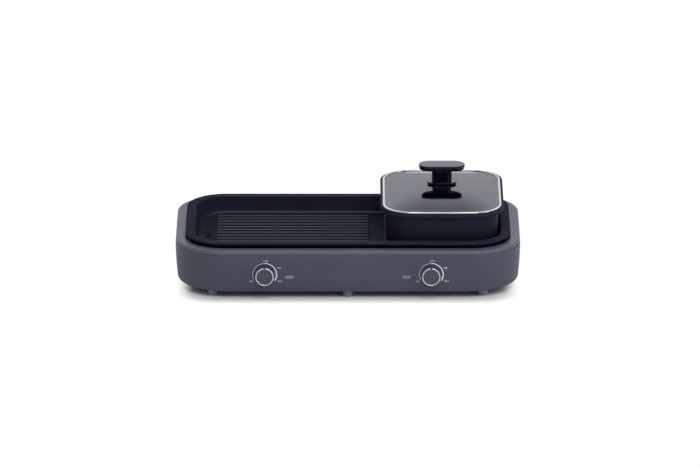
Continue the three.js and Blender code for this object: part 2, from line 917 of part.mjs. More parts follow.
function makePot() {
  const foot = trayFloor + seat;
  const floor = foot + potPlate;
  const bandLow = potTop - potBand;
  const wallIn = potLip + potWall;
  const stepOut = lidSetback - slip;
  const section = new THREE.Path();
  section.moveTo(potLip + potLean + potFillet, foot);
  section.quadraticCurveTo(potLip + potLean, foot, potLip + potLean, foot + potFillet);
  section.lineTo(potLip, bandLow);
  section.lineTo(potEdge, bandLow);
  section.lineTo(0, bandLow + potEdge);
  section.lineTo(0, potTop - potEdge);
  section.lineTo(potEdge, potTop);
  section.lineTo(stepOut, potTop);
  section.lineTo(stepOut, potStep);
  section.lineTo(wallIn, potStep);
  section.lineTo(wallIn + potLean, floor + potFillet);
  section.quadraticCurveTo(wallIn + potLean, floor, wallIn + potLean + potFillet, floor);
  return sweepRound(section, potWidth, potDepth, potCorner);
}

const lidSeat = potStep + seat;
const glassEdgeLow = lidSeat + rimSheet + glassCatch;
const glassEdgeTop = glassEdgeLow + glassThick;

function makeLidRing() {
  const curlLow = glassEdgeTop + glassCatch;
  const section = new THREE.Path();
  section.moveTo(0, lidSeat);
  section.lineTo(0, curlLow);
  section.quadraticCurveTo(0, curlLow + rimSheet, rimSheet * 2, curlLow + rimSheet);
  section.lineTo(rimCurl, curlLow + rimSheet);
  section.lineTo(rimCurl, curlLow);
  section.lineTo(rimSheet, curlLow);
  section.lineTo(rimSheet, lidSeat + rimSheet);
  section.lineTo(rimCurl, lidSeat + rimSheet);
  section.lineTo(rimCurl, lidSeat);
  return sweepRound(section, lidWidth, lidDepth, lidCorner, true);
}

// The glass keeps a flat edge inside the ring and rises to a low dome.
function makeLidGlass() {
  const edge = rimSheet + glassCatch;
  const halfX = lidWidth / 2 - edge;
  const halfY = lidDepth / 2 - edge;
  const corner = lidCorner - edge;
  const spring = 1 - glassFlat / halfX;
  const rise = glassApex - glassEdgeTop;
  const scaled = (size, z) => ring(halfX * size, halfY * size, corner * size, z);
  const heightAt = (size) => glassEdgeTop + rise * (1 - (size / spring) ** domePower);
  const sizes = [];
  for (let i = 0; i <= domeRings; i += 1) {
    sizes.push(spring * (1 - (i / domeRings) * (1 - glassFlat / halfX)));
  }
  const rings = [];
  for (const size of [...sizes].reverse()) {
    rings.push(scaled(size, heightAt(size) - glassThick));
  }
  rings.push(scaled(1, glassEdgeLow));
  rings.push(scaled(1, glassEdgeTop));
  for (const size of sizes) {
    rings.push(scaled(size, heightAt(size)));
  }
  const bore = disc(glassBore, glassApex - glassThick - overrun, glassApex + overrun, screwSteps);
  return carve(loft(rings), [], [bore]);
}

const collarLow = glassApex + seat;
const stemLow = collarLow + collarHeight + seat;

function makeLidCollar() {
  const stadium = (grow, z) => ring(
    collarLength / 2 + grow,
    collarWidth / 2 + grow,
    collarWidth / 2 + grow,
    z,
    smallSteps + 1,
  );
  const top = collarLow + collarHeight;
  const body = loft([
    stadium(0, collarLow),
    stadium(0, top - collarEdge),
    stadium(-collarEdge, top),
  ]);
  const bore = disc(lidScrewRadius + seat, collarLow - overrun, top + overrun, screwSteps);
  return carve(body, [], [bore]);
}

function makeLidKnob() {
  const steps = smallSteps + 1;
  const plateLow = stemLow + stemHeight;
  const plateTop = plateLow + plateHeight;
  const stem = (z) => ring(stemLength / 2, stemWidth / 2, stemWidth / 2, z, steps);
  const plate = (inset, z) => ring(
    plateLength / 2 - inset,
    plateWidth / 2 - inset,
    plateWidth / 2 - inset,
    z,
    steps,
  );
  const body = loft([
    stem(stemLow),
    stem(plateLow),
    plate(plateTaper, plateLow),
    plate(plateTaper / 3, plateLow + plateHeight / 3),
    plate(0, plateTop - plateEdge),
    plate(plateEdge / 3, plateTop - plateEdge / 3),
    plate(plateEdge, plateTop),
  ]);
  const bore = disc(lidScrewRadius + seat, stemLow - overrun, plateLow, screwSteps);
  return carve(body, [], [bore]);
}

function makeLidWasher() {
  const top = glassApex - glassThick - seat;
  const inner = lidScrewRadius + seat;
  return turned([
    [inner, top - washerThick],
    [washerRadius, top - washerThick],
    [washerRadius, top],
    [inner, top],
    [inner, top - washerThick],
  ]);
}

function makeLidScrew() {
  const seatLevel = glassApex - glassThick - washerThick - 2 * seat;
  return turned([
    [0, seatLevel - lidScrewHeadHeight],
    [lidScrewHead * 0.8, seatLevel - lidScrewHeadHeight],
    [lidScrewHead, seatLevel],
    [lidScrewRadius, seatLevel],
    [lidScrewRadius, seatLevel + lidScrewLength],
    [0, seatLevel + lidScrewLength],
  ], screwSteps);
}

// Controls are drawn with the panel's outer face at z = 0 and turned to face -Y.
function makeKnob() {
  const ringBack = knobReach - knobRingDeep;
  const neck = knobRadius - knobRingWidth - seat;
  const face = knobReach - knobFace;
  const hollow = knobReach - knobSkin - knobRingDeep / 2;
  const skirt = knobRadius - knobDraft;
  const bore = shaftRadius + seat;
  const hubBack = bushReach + slip;
  const body = turned([
    [0, shaftOuter + seat],
    [bore, shaftOuter + seat],
    [bore, hubBack],
    [knobHub, hubBack],
    [knobHub, hollow],
    [neck - knobSkin, hollow],
    [skirt - knobSkin, knobBack],
    [skirt, knobBack],
    [skirt + knobDraft / 2, ringBack - seat],
    [neck, ringBack - seat],
    [neck, face],
    [0, face],
  ], 2 * turnSteps);
  const pointerHigh = knobRadius - knobRingWidth / 2;
  const pointerLow = neck / 2;
  const pointer = block(
    pointerWidth,
    pointerHigh - pointerLow,
    0.2 * pointerWidth,
    face - knobSkin / 2,
    face + knobFace / 2,
    1,
  ).translate(0, (pointerHigh + pointerLow) / 2, 0);
  return carve(body, [pointer]);
}

function makeKnobRing() {
  const back = knobReach - knobRingDeep;
  const inner = knobRadius - knobRingWidth;
  const body = turned([
    [inner, back],
    [knobRadius - knobDraft / 2, back],
    [knobRadius, back + knobDraft],
    [knobRadius, knobReach - knobDraft],
    [knobRadius - knobRingWidth / 2, knobReach],
    [inner, knobReach - knobDraft],
    [inner, back],
  ], 2 * turnSteps);
  const notch = block(
    pointerWidth + 2 * seat,
    2 * knobRadius,
    0.2 * pointerWidth,
    back - overrun,
    knobReach + overrun,
  );
  return carve(body, [], [notch.translate(0, knobRadius + knobHub, 0)]);
}

function makeShaft() {
  const body = disc(shaftRadius, shaftInner, shaftOuter);
  const flat = block(2 * shaftRadius, shaftRadius, 0.1 * shaftRadius, 0, shaftOuter + overrun);
  return carve(body, [], [flat.translate(0, shaftRadius * 1.25, 0)]);
}

function makeThermostat() {
  const front = -(caseWall + caseLean + seat);
  const back = front - thermoPlateThick - thermoDeep;
  const plate = block(
    2 * thermoPlateX,
    2 * thermoPlateZ,
    thermoPlateThick,
    front - thermoPlateThick,
    front,
  );
  const body = block(2 * thermoBodyX, 2 * thermoBodyZ, thermoPlateThick, back, front - seat);
  const bush = disc(bushRadius, front - seat, bushReach);
  const blades = [-1, 1].map((side) => block(
    bladeThick,
    2 * bladeWidth,
    0.1 * bladeThick,
    back - bladeReach,
    back + seat,
    1,
  ).translate(side * bladeX, 0, 0));
  const bore = disc(shaftRadius + seat, shaftInner - seat, overrun + bushReach);
  return carve(plate, [body, bush, ...blades], [bore]);
}

function makeLens() {
  const flangeTop = -(caseWall + caseLean) + seat / 2;
  const lens = block(lensWidth, lensHeight, lensHeight / 2, flangeTop - lensFlange / 2, lensProud);
  const flange = block(
    lensWidth + 2 * lensFlange,
    lensHeight + 2 * lensFlange,
    lensHeight / 2,
    flangeTop - lensFlange,
    flangeTop - lensFlange / 3,
  );
  return carve(lens, [flange]);
}

function makeLamp() {
  const top = -(caseWall + caseLean) - lensFlange - seat / 2;
  return turned([
    [0, top - lampLength],
    [lampRadius * 0.6, top - lampLength],
    [lampRadius, top - lampLength + lampRadius],
    [lampRadius, top],
    [0, top],
  ]);
}

// The inlet is drawn with the wall's outer face at z = 0 and turned to face +Y.
function makeInlet() {
  const mouth = -inletSetback;
  const floor = -inletDeep + inletWall * 1.5;
  const flangeTop = -(caseWall + caseLean + seat);
  const shell = block(inletWidth, inletHeight, inletCorner, -inletDeep, mouth);
  const flange = block(
    inletWidth + 2 * inletFlange,
    inletHeight + 2 * inletFlange,
    inletCorner,
    flangeTop - inletFlangeThick,
    flangeTop,
  );
  const recess = block(
    inletWidth - 2 * inletWall,
    inletHeight - 2 * inletWall,
    inletCorner / 2,
    floor,
    mouth + overrun,
  );
  const bores = pinPlaces().map(([x, y]) => disc(
    pinRadius + seat,
    -inletDeep - overrun,
    floor + overrun,
    screwSteps,
  ).translate(x, y, 0));
  return carve(shell, [flange], [recess, ...bores]);
}

// Live and neutral above, earth below; in the inlet's own frame +y points down.
function pinPlaces() {
  return [[-pinX, -pinRise], [pinX, -pinRise], [0, pinDrop]];
}

function makePin() {
  const floor = -inletDeep + inletWall * 1.5;
  return turned([
    [0, -inletDeep - pinTail],
    [pinRadius, -inletDeep - pinTail],
    [pinRadius, floor + pinReach - pinRadius],
    [0, floor + pinReach],
  ], screwSteps);
}

function makeTerminalBlock() {
  const low = caseFoot + slip + coverThick + seat;
  const body = block(blockLength, blockWidth, railThick, low, low + blockHeight);
  const cuts = [-1, 0, 1].map((way) => disc(
    blockBore / 2,
    blockLevel,
    low + blockHeight + overrun,
    screwSteps,
  ).translate(way * blockPitch, 0, 0));
  return carve(body, [], cuts);
}

// The drawer's front is cut from the case's own outer form, so it lies flush.
function makeDrawer() {
  const outer = sweepRound(caseOutside(), caseWidth, caseDepth, caseCornerAt);
  const end = -caseWidth / 2;
  const frontBox = block(
    2 * drawerFront,
    drawerWidth,
    drawerWall / 2,
    drawerFoot,
    drawerTop,
  ).translate(end, drawerY, 0);
  const front = overlapOf(outer, frontBox);
  const cupWidth = drawerWidth - 2 * drawerWall;
  const cupX = end + drawerFront - drawerWall + drawerLength / 2;
  const cup = block(drawerLength, cupWidth, drawerCorner, drawerFoot, drawerCupTop);
  const hollow = block(
    drawerLength - 2 * drawerWall,
    cupWidth - 2 * drawerWall,
    drawerCorner - drawerWall,
    drawerFoot + drawerWall,
    drawerCupTop + overrun,
  );
  const scoop = new THREE.SphereGeometry(1, turnSteps, turnSteps / 2);
  scoop.scale(scoopDeep, scoopRadius, (drawerTop - drawerFoot) / 3);
  scoop.translate(end, drawerY, (drawerTop + drawerFoot) / 2);
  cup.translate(cupX, drawerY, 0);
  hollow.translate(cupX, drawerY, 0);
  return carve(front, [cup], [hollow, scoop]);
}

// Wires run level under the heat shield from terminal to terminal.
function makeWires() {
  const pinEndY = caseDepth / 2 - inletDeep - pinTail - seat;
  const liveZ = inletZ + pinRise;
  const earthZ = inletZ - pinDrop;
  const dropY = pinEndY - 3 * wireBend;
  const blockBack = blockY + blockWidth / 2 + seat;
  const blockFront = blockY - blockWidth / 2 - seat;
  const thermoBack = caseWall + caseLean + thermoPlateThick + thermoDeep;
  const bladeY = -caseDepth / 2 + thermoBack + bladeReach + 2 * seat;
  const fallY = bladeY + 2 * wireBend;
  const crossY = blockFront - 4 * wireBend;
  const upper = blockLevel + 4 * wireRadius;
  const coilEnd = heaterEnd - seat;
  const shieldUnder = shieldFloor - seat;
  const loadY = -griddleHeaterOuter - 6 * wireBend;
  const routes = {
    live_wire: [
      [-pinX, pinEndY, liveZ],
      [-pinX, dropY, liveZ],
      [-pinX, dropY, blockLevel],
      [-blockPitch, dropY - 4 * wireBend, blockLevel],
      [-blockPitch, blockBack, blockLevel],
    ],
    neutral_wire: [
      [pinX, pinEndY, liveZ],
      [pinX, dropY, liveZ],
      [pinX, dropY, blockLevel],
      [blockPitch / 2, dropY - 4 * wireBend, blockLevel],
      [blockPitch / 2, blockBack, blockLevel],
    ],
    earth_wire: [
      [0, pinEndY, earthZ],
      [0, dropY + wireBend, earthZ],
      [0, dropY + wireBend, earthZ - 2 * wireBend],
      [0, dropY - 4 * wireBend, earthZ - 2 * wireBend],
      [0, dropY - 4 * wireBend, shieldUnder],
    ],
  };
  for (const [side, label] of [[-1, 'left'], [1, 'right']]) {
    const inner = side * (knobX - bladeX);
    routes[`${label}_supply_wire`] = [
      [side * blockPitch, blockFront, blockLevel],
      [side * blockPitch, crossY, blockLevel],
      [inner, crossY, blockLevel],
      [inner, fallY, blockLevel],
      [inner, fallY, knobZ],
      [inner, bladeY, knobZ],
    ];
  }
  const outer = knobX + bladeX;
  routes.griddle_load_wire = [
    [-outer, bladeY, knobZ],
    [-outer, fallY, knobZ],
    [-outer, fallY, upper],
    [-outer, loadY, upper],
    [griddleHeaterPin, loadY, upper],
    [griddleHeaterPin, -griddleHeaterOuter, upper],
    [griddleHeaterPin, -griddleHeaterOuter, coilEnd],
  ];
  routes.pot_load_wire = [
    [outer, bladeY, knobZ],
    [outer, fallY, knobZ],
    [outer, fallY, upper],
    [outer, loadY, upper],
    [potHeaterPin, loadY, upper],
    [potHeaterPin, -potHeaterMouth, upper],
    [potHeaterPin, -potHeaterMouth, coilEnd],
  ];
  const returnX = blockPitch / 4;
  routes.griddle_return_wire = [
    [griddleHeaterPin, -griddleHeaterInner, coilEnd],
    [griddleHeaterPin, -griddleHeaterInner, upper],
    [griddleHeaterPin, griddleHeaterInner, upper],
    [-returnX, griddleHeaterInner, upper],
    [-returnX, crossY - 2 * wireBend, blockLevel],
    [-returnX, blockFront, blockLevel],
  ];
  routes.pot_return_wire = [
    [potHeaterPin, potHeaterMouth, coilEnd],
    [potHeaterPin, potHeaterMouth, upper],
    [potHeaterPin, crossY - 5 * wireBend, upper],
    [returnX, crossY - 5 * wireBend, upper],
    [returnX, crossY - wireBend, blockLevel],
    [returnX, blockFront, blockLevel],
  ];
  const wires = new THREE.Group();
  for (const [name, route] of Object.entries(routes)) {
    const material = name === 'earth_wire' ? greenWire : redWire;
    const wire = bentTube(route, wireRadius, wireBend, wireSides, wireBendSteps);
    wires.add(named(name, wire, material));
  }
  return wires;
}

function makeControls() {
  const controls = new THREE.Group();
  const thermostat = makeThermostat();
  const knob = makeKnob();
  const knobRing = makeKnobRing();
  const shaft = makeShaft();
  const lens = makeLens();
  const lamp = makeLamp();
  for (const [side, label] of [[-1, 'left'], [1, 'right']]) {
    const dial = new THREE.Group();
    dial.position.set(side * knobX, -caseDepth / 2, knobZ);
    dial.rotation.x = Math.PI / 2;
    dial.add(named(`${label}_thermostat`, thermostat, ceramic));
    dial.add(named(`${label}_shaft`, shaft, steel));
    dial.add(named(`${label}_knob`, knob, slate));
    dial.add(named(`${label}_knob_ring`, knobRing, chrome));
    const indicator = new THREE.Group();
    indicator.position.set(side * lampX, -caseDepth / 2, lampZ);
    indicator.rotation.x = Math.PI / 2;
    indicator.add(named(`${label}_lamp_lens`, lens, lensPlastic));
    indicator.add(named(`${label}_lamp`, lamp, ceramic));
    controls.add(dial, indicator);
  }
  return controls;
}

function makeInletGroup() {
  const inlet = new THREE.Group();
  inlet.position.set(0, caseDepth / 2, inletZ);
  inlet.rotation.x = -Math.PI / 2;
  inlet.add(named('power_inlet', makeInlet(), blackPlastic));
  const labels = ['live_pin', 'neutral_pin', 'earth_pin'];
  pinPlaces().forEach(([x, y], i) => {
    inlet.add(named(labels[i], makePin(), brass, x, y, 0));
  });
  return inlet;
}

function makeFasteners() {
  const fasteners = new THREE.Group();
  const foot = makeFoot();
  const feet = ['front_left', 'front_middle', 'front_right', 'rear_left', 'rear_middle', 'rear_right'];
  footPlaces().forEach(([x, y], i) => {
    fasteners.add(named(`${feet[i]}_foot`, foot, rubber, x, y, 0));
  });
  const coverScrew = makeScrew(screwLength);
  const shieldScrew = makeScrew(shieldScrewLength);
  for (const [sideX, labelX] of [[-1, 'left'], [1, 'right']]) {
    for (const [sideY, labelY] of [[-1, 'front'], [1, 'rear']]) {
      fasteners.add(named(
        `${labelY}_${labelX}_cover_screw`,
        coverScrew,
        steel,
        sideX * coverScrewX,
        sideY * coverScrewY,
        caseFoot + slip - seat,
      ));
      fasteners.add(named(
        `${labelY}_${labelX}_shield_screw`,
        shieldScrew,
        steel,
        sideX * shieldScrewX,
        sideY * shieldScrewY,
        shieldFlange - seat,
      ));
    }
  }
  return fasteners;
}

function makeHeating() {
  const heating = new THREE.Group();
  heating.add(named('heat_shield', makeHeatShield(), steel));
  heating.add(named('griddle_heater', makeGriddleHeater(), steel));
  heating.add(named('pot_heater', makePotHeater(), steel));
  const outer = griddleHeaterOuter;
  const inner = griddleHeaterInner;
  const griddleCradle = makeCradle([-outer, -inner, inner, outer]);
  const potCradle = makeCradle([-potHeaterHalf, potHeaterHalf]);
  const griddleMiddle = (griddleHeaterTurn + griddleHeaterRight) / 2;
  const griddleReach = (griddleHeaterRight - griddleHeaterTurn) / 5;
  const potMiddle = (potHeaterLeft + potHeaterRight) / 2;
  const potReach = (potHeaterRight - potHeaterLeft) / 5;
  for (const [side, label] of [[-1, 'left'], [1, 'right']]) {
    const griddlePlace = griddleMiddle + side * griddleReach;
    heating.add(named(`${label}_griddle_cradle`, griddleCradle, steel, griddlePlace, 0, 0));
    const potPlace = potMiddle + side * potReach;
    heating.add(named(`${label}_pot_cradle`, potCradle, steel, potPlace, 0, 0));
  }
  return heating;
}

function makeLid() {
  const lid = new THREE.Group();
  lid.position.x = potX;
  lid.add(named('lid_glass', makeLidGlass(), glass));
  lid.add(named('lid_ring', makeLidRing(), chrome));
  lid.add(named('lid_collar', makeLidCollar(), blackPlastic));
  lid.add(named('lid_knob', makeLidKnob(), blackPlastic));
  lid.add(named('lid_washer', makeLidWasher(), steel));
  lid.add(named('lid_screw', makeLidScrew(), steel));
  return lid;
}

const cooker = new THREE.Group();
cooker.position.y = knobReach / 2;
cooker.add(named('housing', makeCase(), slate));
cooker.add(named('top_ring', makeTopRing(), slateLight));
cooker.add(named('bottom_cover', makeBottomCover(), blackPlastic));
cooker.add(named('griddle_tray', makeTray(), nonStick));
cooker.add(named('pot', makePot(), nonStick, potX, 0, 0));
cooker.add(named('oil_drawer', makeDrawer(), slate));
cooker.add(named('terminal_block', makeTerminalBlock(), ceramic, 0, blockY, 0));
cooker.add(makeHeating());
cooker.add(makeControls());
cooker.add(makeInletGroup());
cooker.add(makeFasteners());
cooker.add(makeWires());
cooker.add(makeLid());

export default cooker;
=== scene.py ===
"""A countertop cooker: ridged griddle tray, lift-out pot with a glass lid, two dials and an oil drawer.

Every length is in millimetres in the case's own frame: the worktop is z = 0, the case is centred on x and y
and the dials face -y. keep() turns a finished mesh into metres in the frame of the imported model. Only the
floor, the lights and the camera at the end are placed in that frame's metres.
"""
import math

import bmesh
import bpy
from mathutils import Matrix, Vector


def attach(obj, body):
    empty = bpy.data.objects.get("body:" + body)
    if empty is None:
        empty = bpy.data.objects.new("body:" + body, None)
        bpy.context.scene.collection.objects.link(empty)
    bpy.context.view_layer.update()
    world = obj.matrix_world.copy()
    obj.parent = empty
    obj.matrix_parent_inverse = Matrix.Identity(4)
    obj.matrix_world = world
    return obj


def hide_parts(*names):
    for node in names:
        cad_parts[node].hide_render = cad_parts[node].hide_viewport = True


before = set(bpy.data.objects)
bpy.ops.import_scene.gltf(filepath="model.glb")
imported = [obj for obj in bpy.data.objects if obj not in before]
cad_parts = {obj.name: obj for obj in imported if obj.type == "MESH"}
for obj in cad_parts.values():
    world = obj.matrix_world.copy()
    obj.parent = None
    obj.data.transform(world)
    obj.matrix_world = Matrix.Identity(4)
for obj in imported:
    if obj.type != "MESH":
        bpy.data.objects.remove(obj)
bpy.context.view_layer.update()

MM = 0.001
DIAL_REACH = 13  # from the panel out to the dials' rings
CASE_SHIFT = DIAL_REACH / 2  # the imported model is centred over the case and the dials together
QUARTER = math.pi / 2
CREASE = math.radians(35)
CORNER_STEPS = 20
SHARPEST, LEAST_SIDE = 0.5, 0.01  # an outline's least corner radius and least half side
ARC_SHARE, SUPPORT_REACH = 0.48, 1.15
CORNER_SIGNS = ((1, 1), (-1, 1), (-1, -1), (1, -1))

# Case and rim ring
CASE_WIDTH, CASE_DEPTH = 560, 300
CASE_CORNER, CASE_FOOT_CORNER = 80, 86
CASE_FOOT, CASE_SEAM = 11, 75
CASE_LEAN, CASE_ROUND, CASE_WALL = 3, 6, 3
CASE_EDGE = 1.1
LEAN_TOP = CASE_SEAM - 1  # the wall stands upright from here
NEWTON_STEPS = 6
FOOT_LIP, FOOT_FLAT = 2, 0.4
RIM_TOP = 82
RIM_SETBACK = 0.6
RIM_WALL = 2.5
RIM_SEAM_GAP = 0.3
MOUTH_INSET, MOUTH_LOW = 17.5, 66
RIM_LIP_INSET, RIM_LIP_WALL, RIM_LIP_LOW = 3.8, 1.7, 71
FOOT_X, FOOT_Y, MIDDLE_FOOT_Y = 219, 122, 128.5

# Griddle tray
TRAY_WIDTH, TRAY_DEPTH, TRAY_CORNER = 528, 266, 64
TRAY_TOP, TRAY_LEDGE, TRAY_FLOOR = 90, 66, 62.6
TRAY_PLATE, TRAY_LEAN = 4, 4.5
TRAY_RIM, TRAY_RIM_THICK = 16, 3.5
LEDGE_WIDTH = 10
RIDGE_COUNT, RIDGE_PITCH = 13, 14.7
RIDGE_LEFT, RIDGE_RIGHT = -215.5, 34
RIDGE_END = 1.2
RIDGE_ROOT = TRAY_FLOOR - 2
BAR_X, BAR_LENGTH = 61, 196
HIGHLIGHT_FADE_IN = (-236, -210)  # along x, where the painted highlight strips fade in
DRAIN = (-231, -4)
DRAIN_BORE, DRAIN_DISH = 12, (9, 14, 3.2)
SPOUT_FOOT = 37.5
LEGS_X, LEG_Y = (-218, 52, 218), 84
SHIELD_TOP = 40.3

# Pot and lid
POT_X = 153
POT_WIDTH, POT_DEPTH, POT_CORNER = 200, 238, 52
POT_TOP, POT_STEP, POT_BAND = 135.5, 132.4, 7
POT_STEP_INSET = 3.0
POT_LIP, POT_WALL, POT_LEAN = 8, 2.5, 3
POT_SEAT, POT_PLATE = 0.3, 3.5
POT_FILLET = 20.5
LID_WIDTH, LID_DEPTH, LID_CORNER = 193, 231, 48.5
LID_SEAT = 132.7
GLASS_LOW, GLASS_THICK, GLASS_APEX = 133.5, 2.2, 151
GLASS_SETBACK, GLASS_BORE = 0.8, 6
GLASS_LOOPS, LEAST_LOOP = 16, 0.06
DOME_SETBACK, DOME_SQUARENESS, DOME_ROUND = 5, 4.7, 0.8
RING_TOP = 136.5
RING_SHEET, RING_CURL = 0.6, 3.6
COLLAR_WIDTH, COLLAR_DEPTH, COLLAR_HIGH = 49, 30, 3
STEM_WIDTH, STEM_DEPTH, STEM_HIGH = 33, 19, 20
GRIP_WIDTH, GRIP_DEPTH = 75, 36

# Dials, lamps, inlet and drawer
DIAL_X, DIAL_Z = 134.68, 42
DIAL_RADIUS = 14.7
DIAL_RING_WIDTH, DIAL_RING_DEEP = 1.6, 4.2
POINTER_HALF_GAP = 1.55
LAMP_X, LAMP_Z = 94.58, 37.6
LENS_LONG, LENS_TALL = 15.4, 6
INK_THICK = 0.08
LETTER_SIZE = 3.4
ARC_STEPS = 48
INLET_Z, INLET_WIDE, INLET_TALL = 40, 25.4, 19.4
DRAWER_Y, DRAWER_WIDE = -12, 63
DRAWER_LOW, DRAWER_HIGH = 17.6, 36
WALL_CUT = (-14, 8)  # how far the cutter of a hole reaches in and out

# Heating tubes
TUBE_LEVEL, TUBE_END = 55, 34
TUBE_RADIUS, TUBE_BEND = 3.3, 18
GRIDDLE_END_X, POT_END_X = 34, 78


# ---- Shader trees ----

class Wire:
    """A socket in a shader tree; sums and products of wires add Math nodes."""

    def __init__(self, tree, socket):
        self.tree = tree
        self.socket = socket

    def node(self, kind, settings=None, inputs=None, output=0):
        made = self.tree.nodes.new(kind)
        for name, value in (settings or {}).items():
            if name == "stops":
                set_stops(made.color_ramp, value)
            else:
                setattr(made, name, value)
        for name, value in (inputs or {}).items():
            if isinstance(value, Wire):
                self.tree.links.new(value.socket, made.inputs[name])
            else:
                made.inputs[name].default_value = value
        return Wire(self.tree, made.outputs[output] if made.outputs else None)

    def maths(self, operation, *values):
        return self.node("ShaderNodeMath", {"operation": operation}, dict(enumerate(values)))

    def __add__(self, other):
        return self.maths("ADD", self, other)

    def __sub__(self, other):
        return self.maths("SUBTRACT", self, other)

    def __rsub__(self, other):
        return self.maths("SUBTRACT", other, self)

    def __mul__(self, other):
        return self.maths("MULTIPLY", self, other)

    def __truediv__(self, other):
        return self.maths("DIVIDE", self, other)

    __radd__ = __add__
    __rmul__ = __mul__

    def component(self, axis):
        """One part of a vector: 0 for x, 1 for y and 2 for z."""
        return self.node("ShaderNodeSeparateXYZ", inputs={"Vector": self}, output=axis)

    def to_range(self, low, high, start=0.0, end=1.0, smooth=False):
        """The value carried from low..high to start..end and held at the ends."""
        settings = {"interpolation_type": "SMOOTHSTEP" if smooth else "LINEAR"}
        inputs = {"Value": self, "From Min": low, "From Max": high, "To Min": start, "To Max": end}
        return self.node("ShaderNodeMapRange", settings, inputs)

    def spread(self, start=0.0, end=1.0):
        """Noise, most of which lies from 0.3 to 0.7, carried to start..end."""
        return self.to_range(0.3, 0.7, start, end)

    def blend(self, first, second):
        """The first colour where this value is 0 and the second where it is 1."""
        return self.node("ShaderNodeMix", {"data_type": "RGBA"}, {0: self, 6: first, 7: second}, 2)


def set_stops(ramp, stops):
    while len(ramp.elements) < len(stops):
        ramp.elements.new(1)
    for element, (place, colour) in zip(ramp.elements, stops):
        element.position = place
        element.color = colour


def bare_tree(owner):
    """Empties the shader tree of a material or a world. The wire it gives has no socket and adds nodes."""
    owner.use_nodes = True
    owner.node_tree.nodes.clear()
    return Wire(owner.node_tree, None)


def tint(red, green, blue):
    """An sRGB colour in 0..255 as a linear colour with full alpha."""
    def linear(level):
        share = level / 255
        return share / 12.92 if share <= 0.04045 else ((share + 0.055) / 1.055) ** 2.4
    return (linear(red), linear(green), linear(blue), 1)


def shaded(colour, share):
    """The colour made darker, or lighter where the share is above 1."""
    return tuple(min(1, part * share) for part in colour[:3]) + (1,)


class Finish:
    """One material: its tree, the surface's place, and the shader that the wires feed."""

    def __init__(self, name, **constants):
        self.material = bpy.data.materials.new(name)
        self.start = bare_tree(self.material)
        self.place = self.start.node("ShaderNodeTexCoord", output="Object")
        shader = self.start.node("ShaderNodeBsdfPrincipled", inputs=constants)
        self.shader = shader.socket.node
        self.start.node("ShaderNodeOutputMaterial", inputs={"Surface": shader})

    def noise(self, size, detail=2, rough=0.5, stretch=(1, 1, 1)):
        """Noise of about this size in millimetres, drawn out along an axis where stretch is above 1."""
        scale = tuple(1 / (size * MM * along) for along in stretch)
        place = self.start.node("ShaderNodeMapping", inputs={"Vector": self.place, "Scale": scale})
        inputs = {"Vector": place, "Scale": 1, "Detail": detail, "Roughness": rough}
        return self.start.node("ShaderNodeTexNoise", inputs=inputs)

    def grains(self, size):
        """Small round grains about this far apart: 0 at each grain's middle."""
        inputs = {"Vector": self.place, "Scale": 1 / (size * MM)}
        return self.start.node("ShaderNodeTexVoronoi", inputs=inputs)

    def along(self, axis):
        """The place along an axis in millimetres, 0 for x and 2 for the height over the worktop."""
        return self.place.component(axis) / MM

    def edges(self):
        """0 on hollows and flats, 1 on raised edges."""
        bend = self.start.node("ShaderNodeNewGeometry", output="Pointiness")
        return bend.to_range(0.5, 0.56)

    def bump(self, height, depth):
        """Turns a height of 0..1 into a bump of this depth in millimetres."""
        inputs = {"Height": height, "Distance": depth * MM, "Strength": 1.0}
        return self.start.node("ShaderNodeBump", inputs=inputs)

    def use(self, **wires):
        """Feeds the shader and gives the finished material."""
        for name, wire in wires.items():
            wire.tree.links.new(wire.socket, self.shader.inputs[name.replace("_", " ")])
        return self.material


def moulded_plastic(name, colour, grain=0.35, rough=(0.36, 0.46), depth=0.012, **constants):
    """Moulded plastic with a fine grain, a cloudy shade and a painted highlight that makes raised edges
    paler.
    """
    finish = Finish(name, **constants)
    fine = finish.noise(grain, 3)
    cloud = finish.noise(60, 3)
    dust = finish.noise(4, 2)
    shade = (cloud * 0.7 + dust * 0.3).to_range(0.35, 0.65)
    surface = shade.blend(shaded(colour, 0.93), shaded(colour, 1.09))
    # Painted highlight: raised edges are made paler.
    surface = (finish.edges() * 0.35).blend(surface, shaded(colour, 1.35))
    roughness = (cloud * 0.6 + fine * 0.4).spread(*rough)
    return finish.use(Base_Color=surface, Roughness=roughness, Normal=finish.bump(fine, depth))


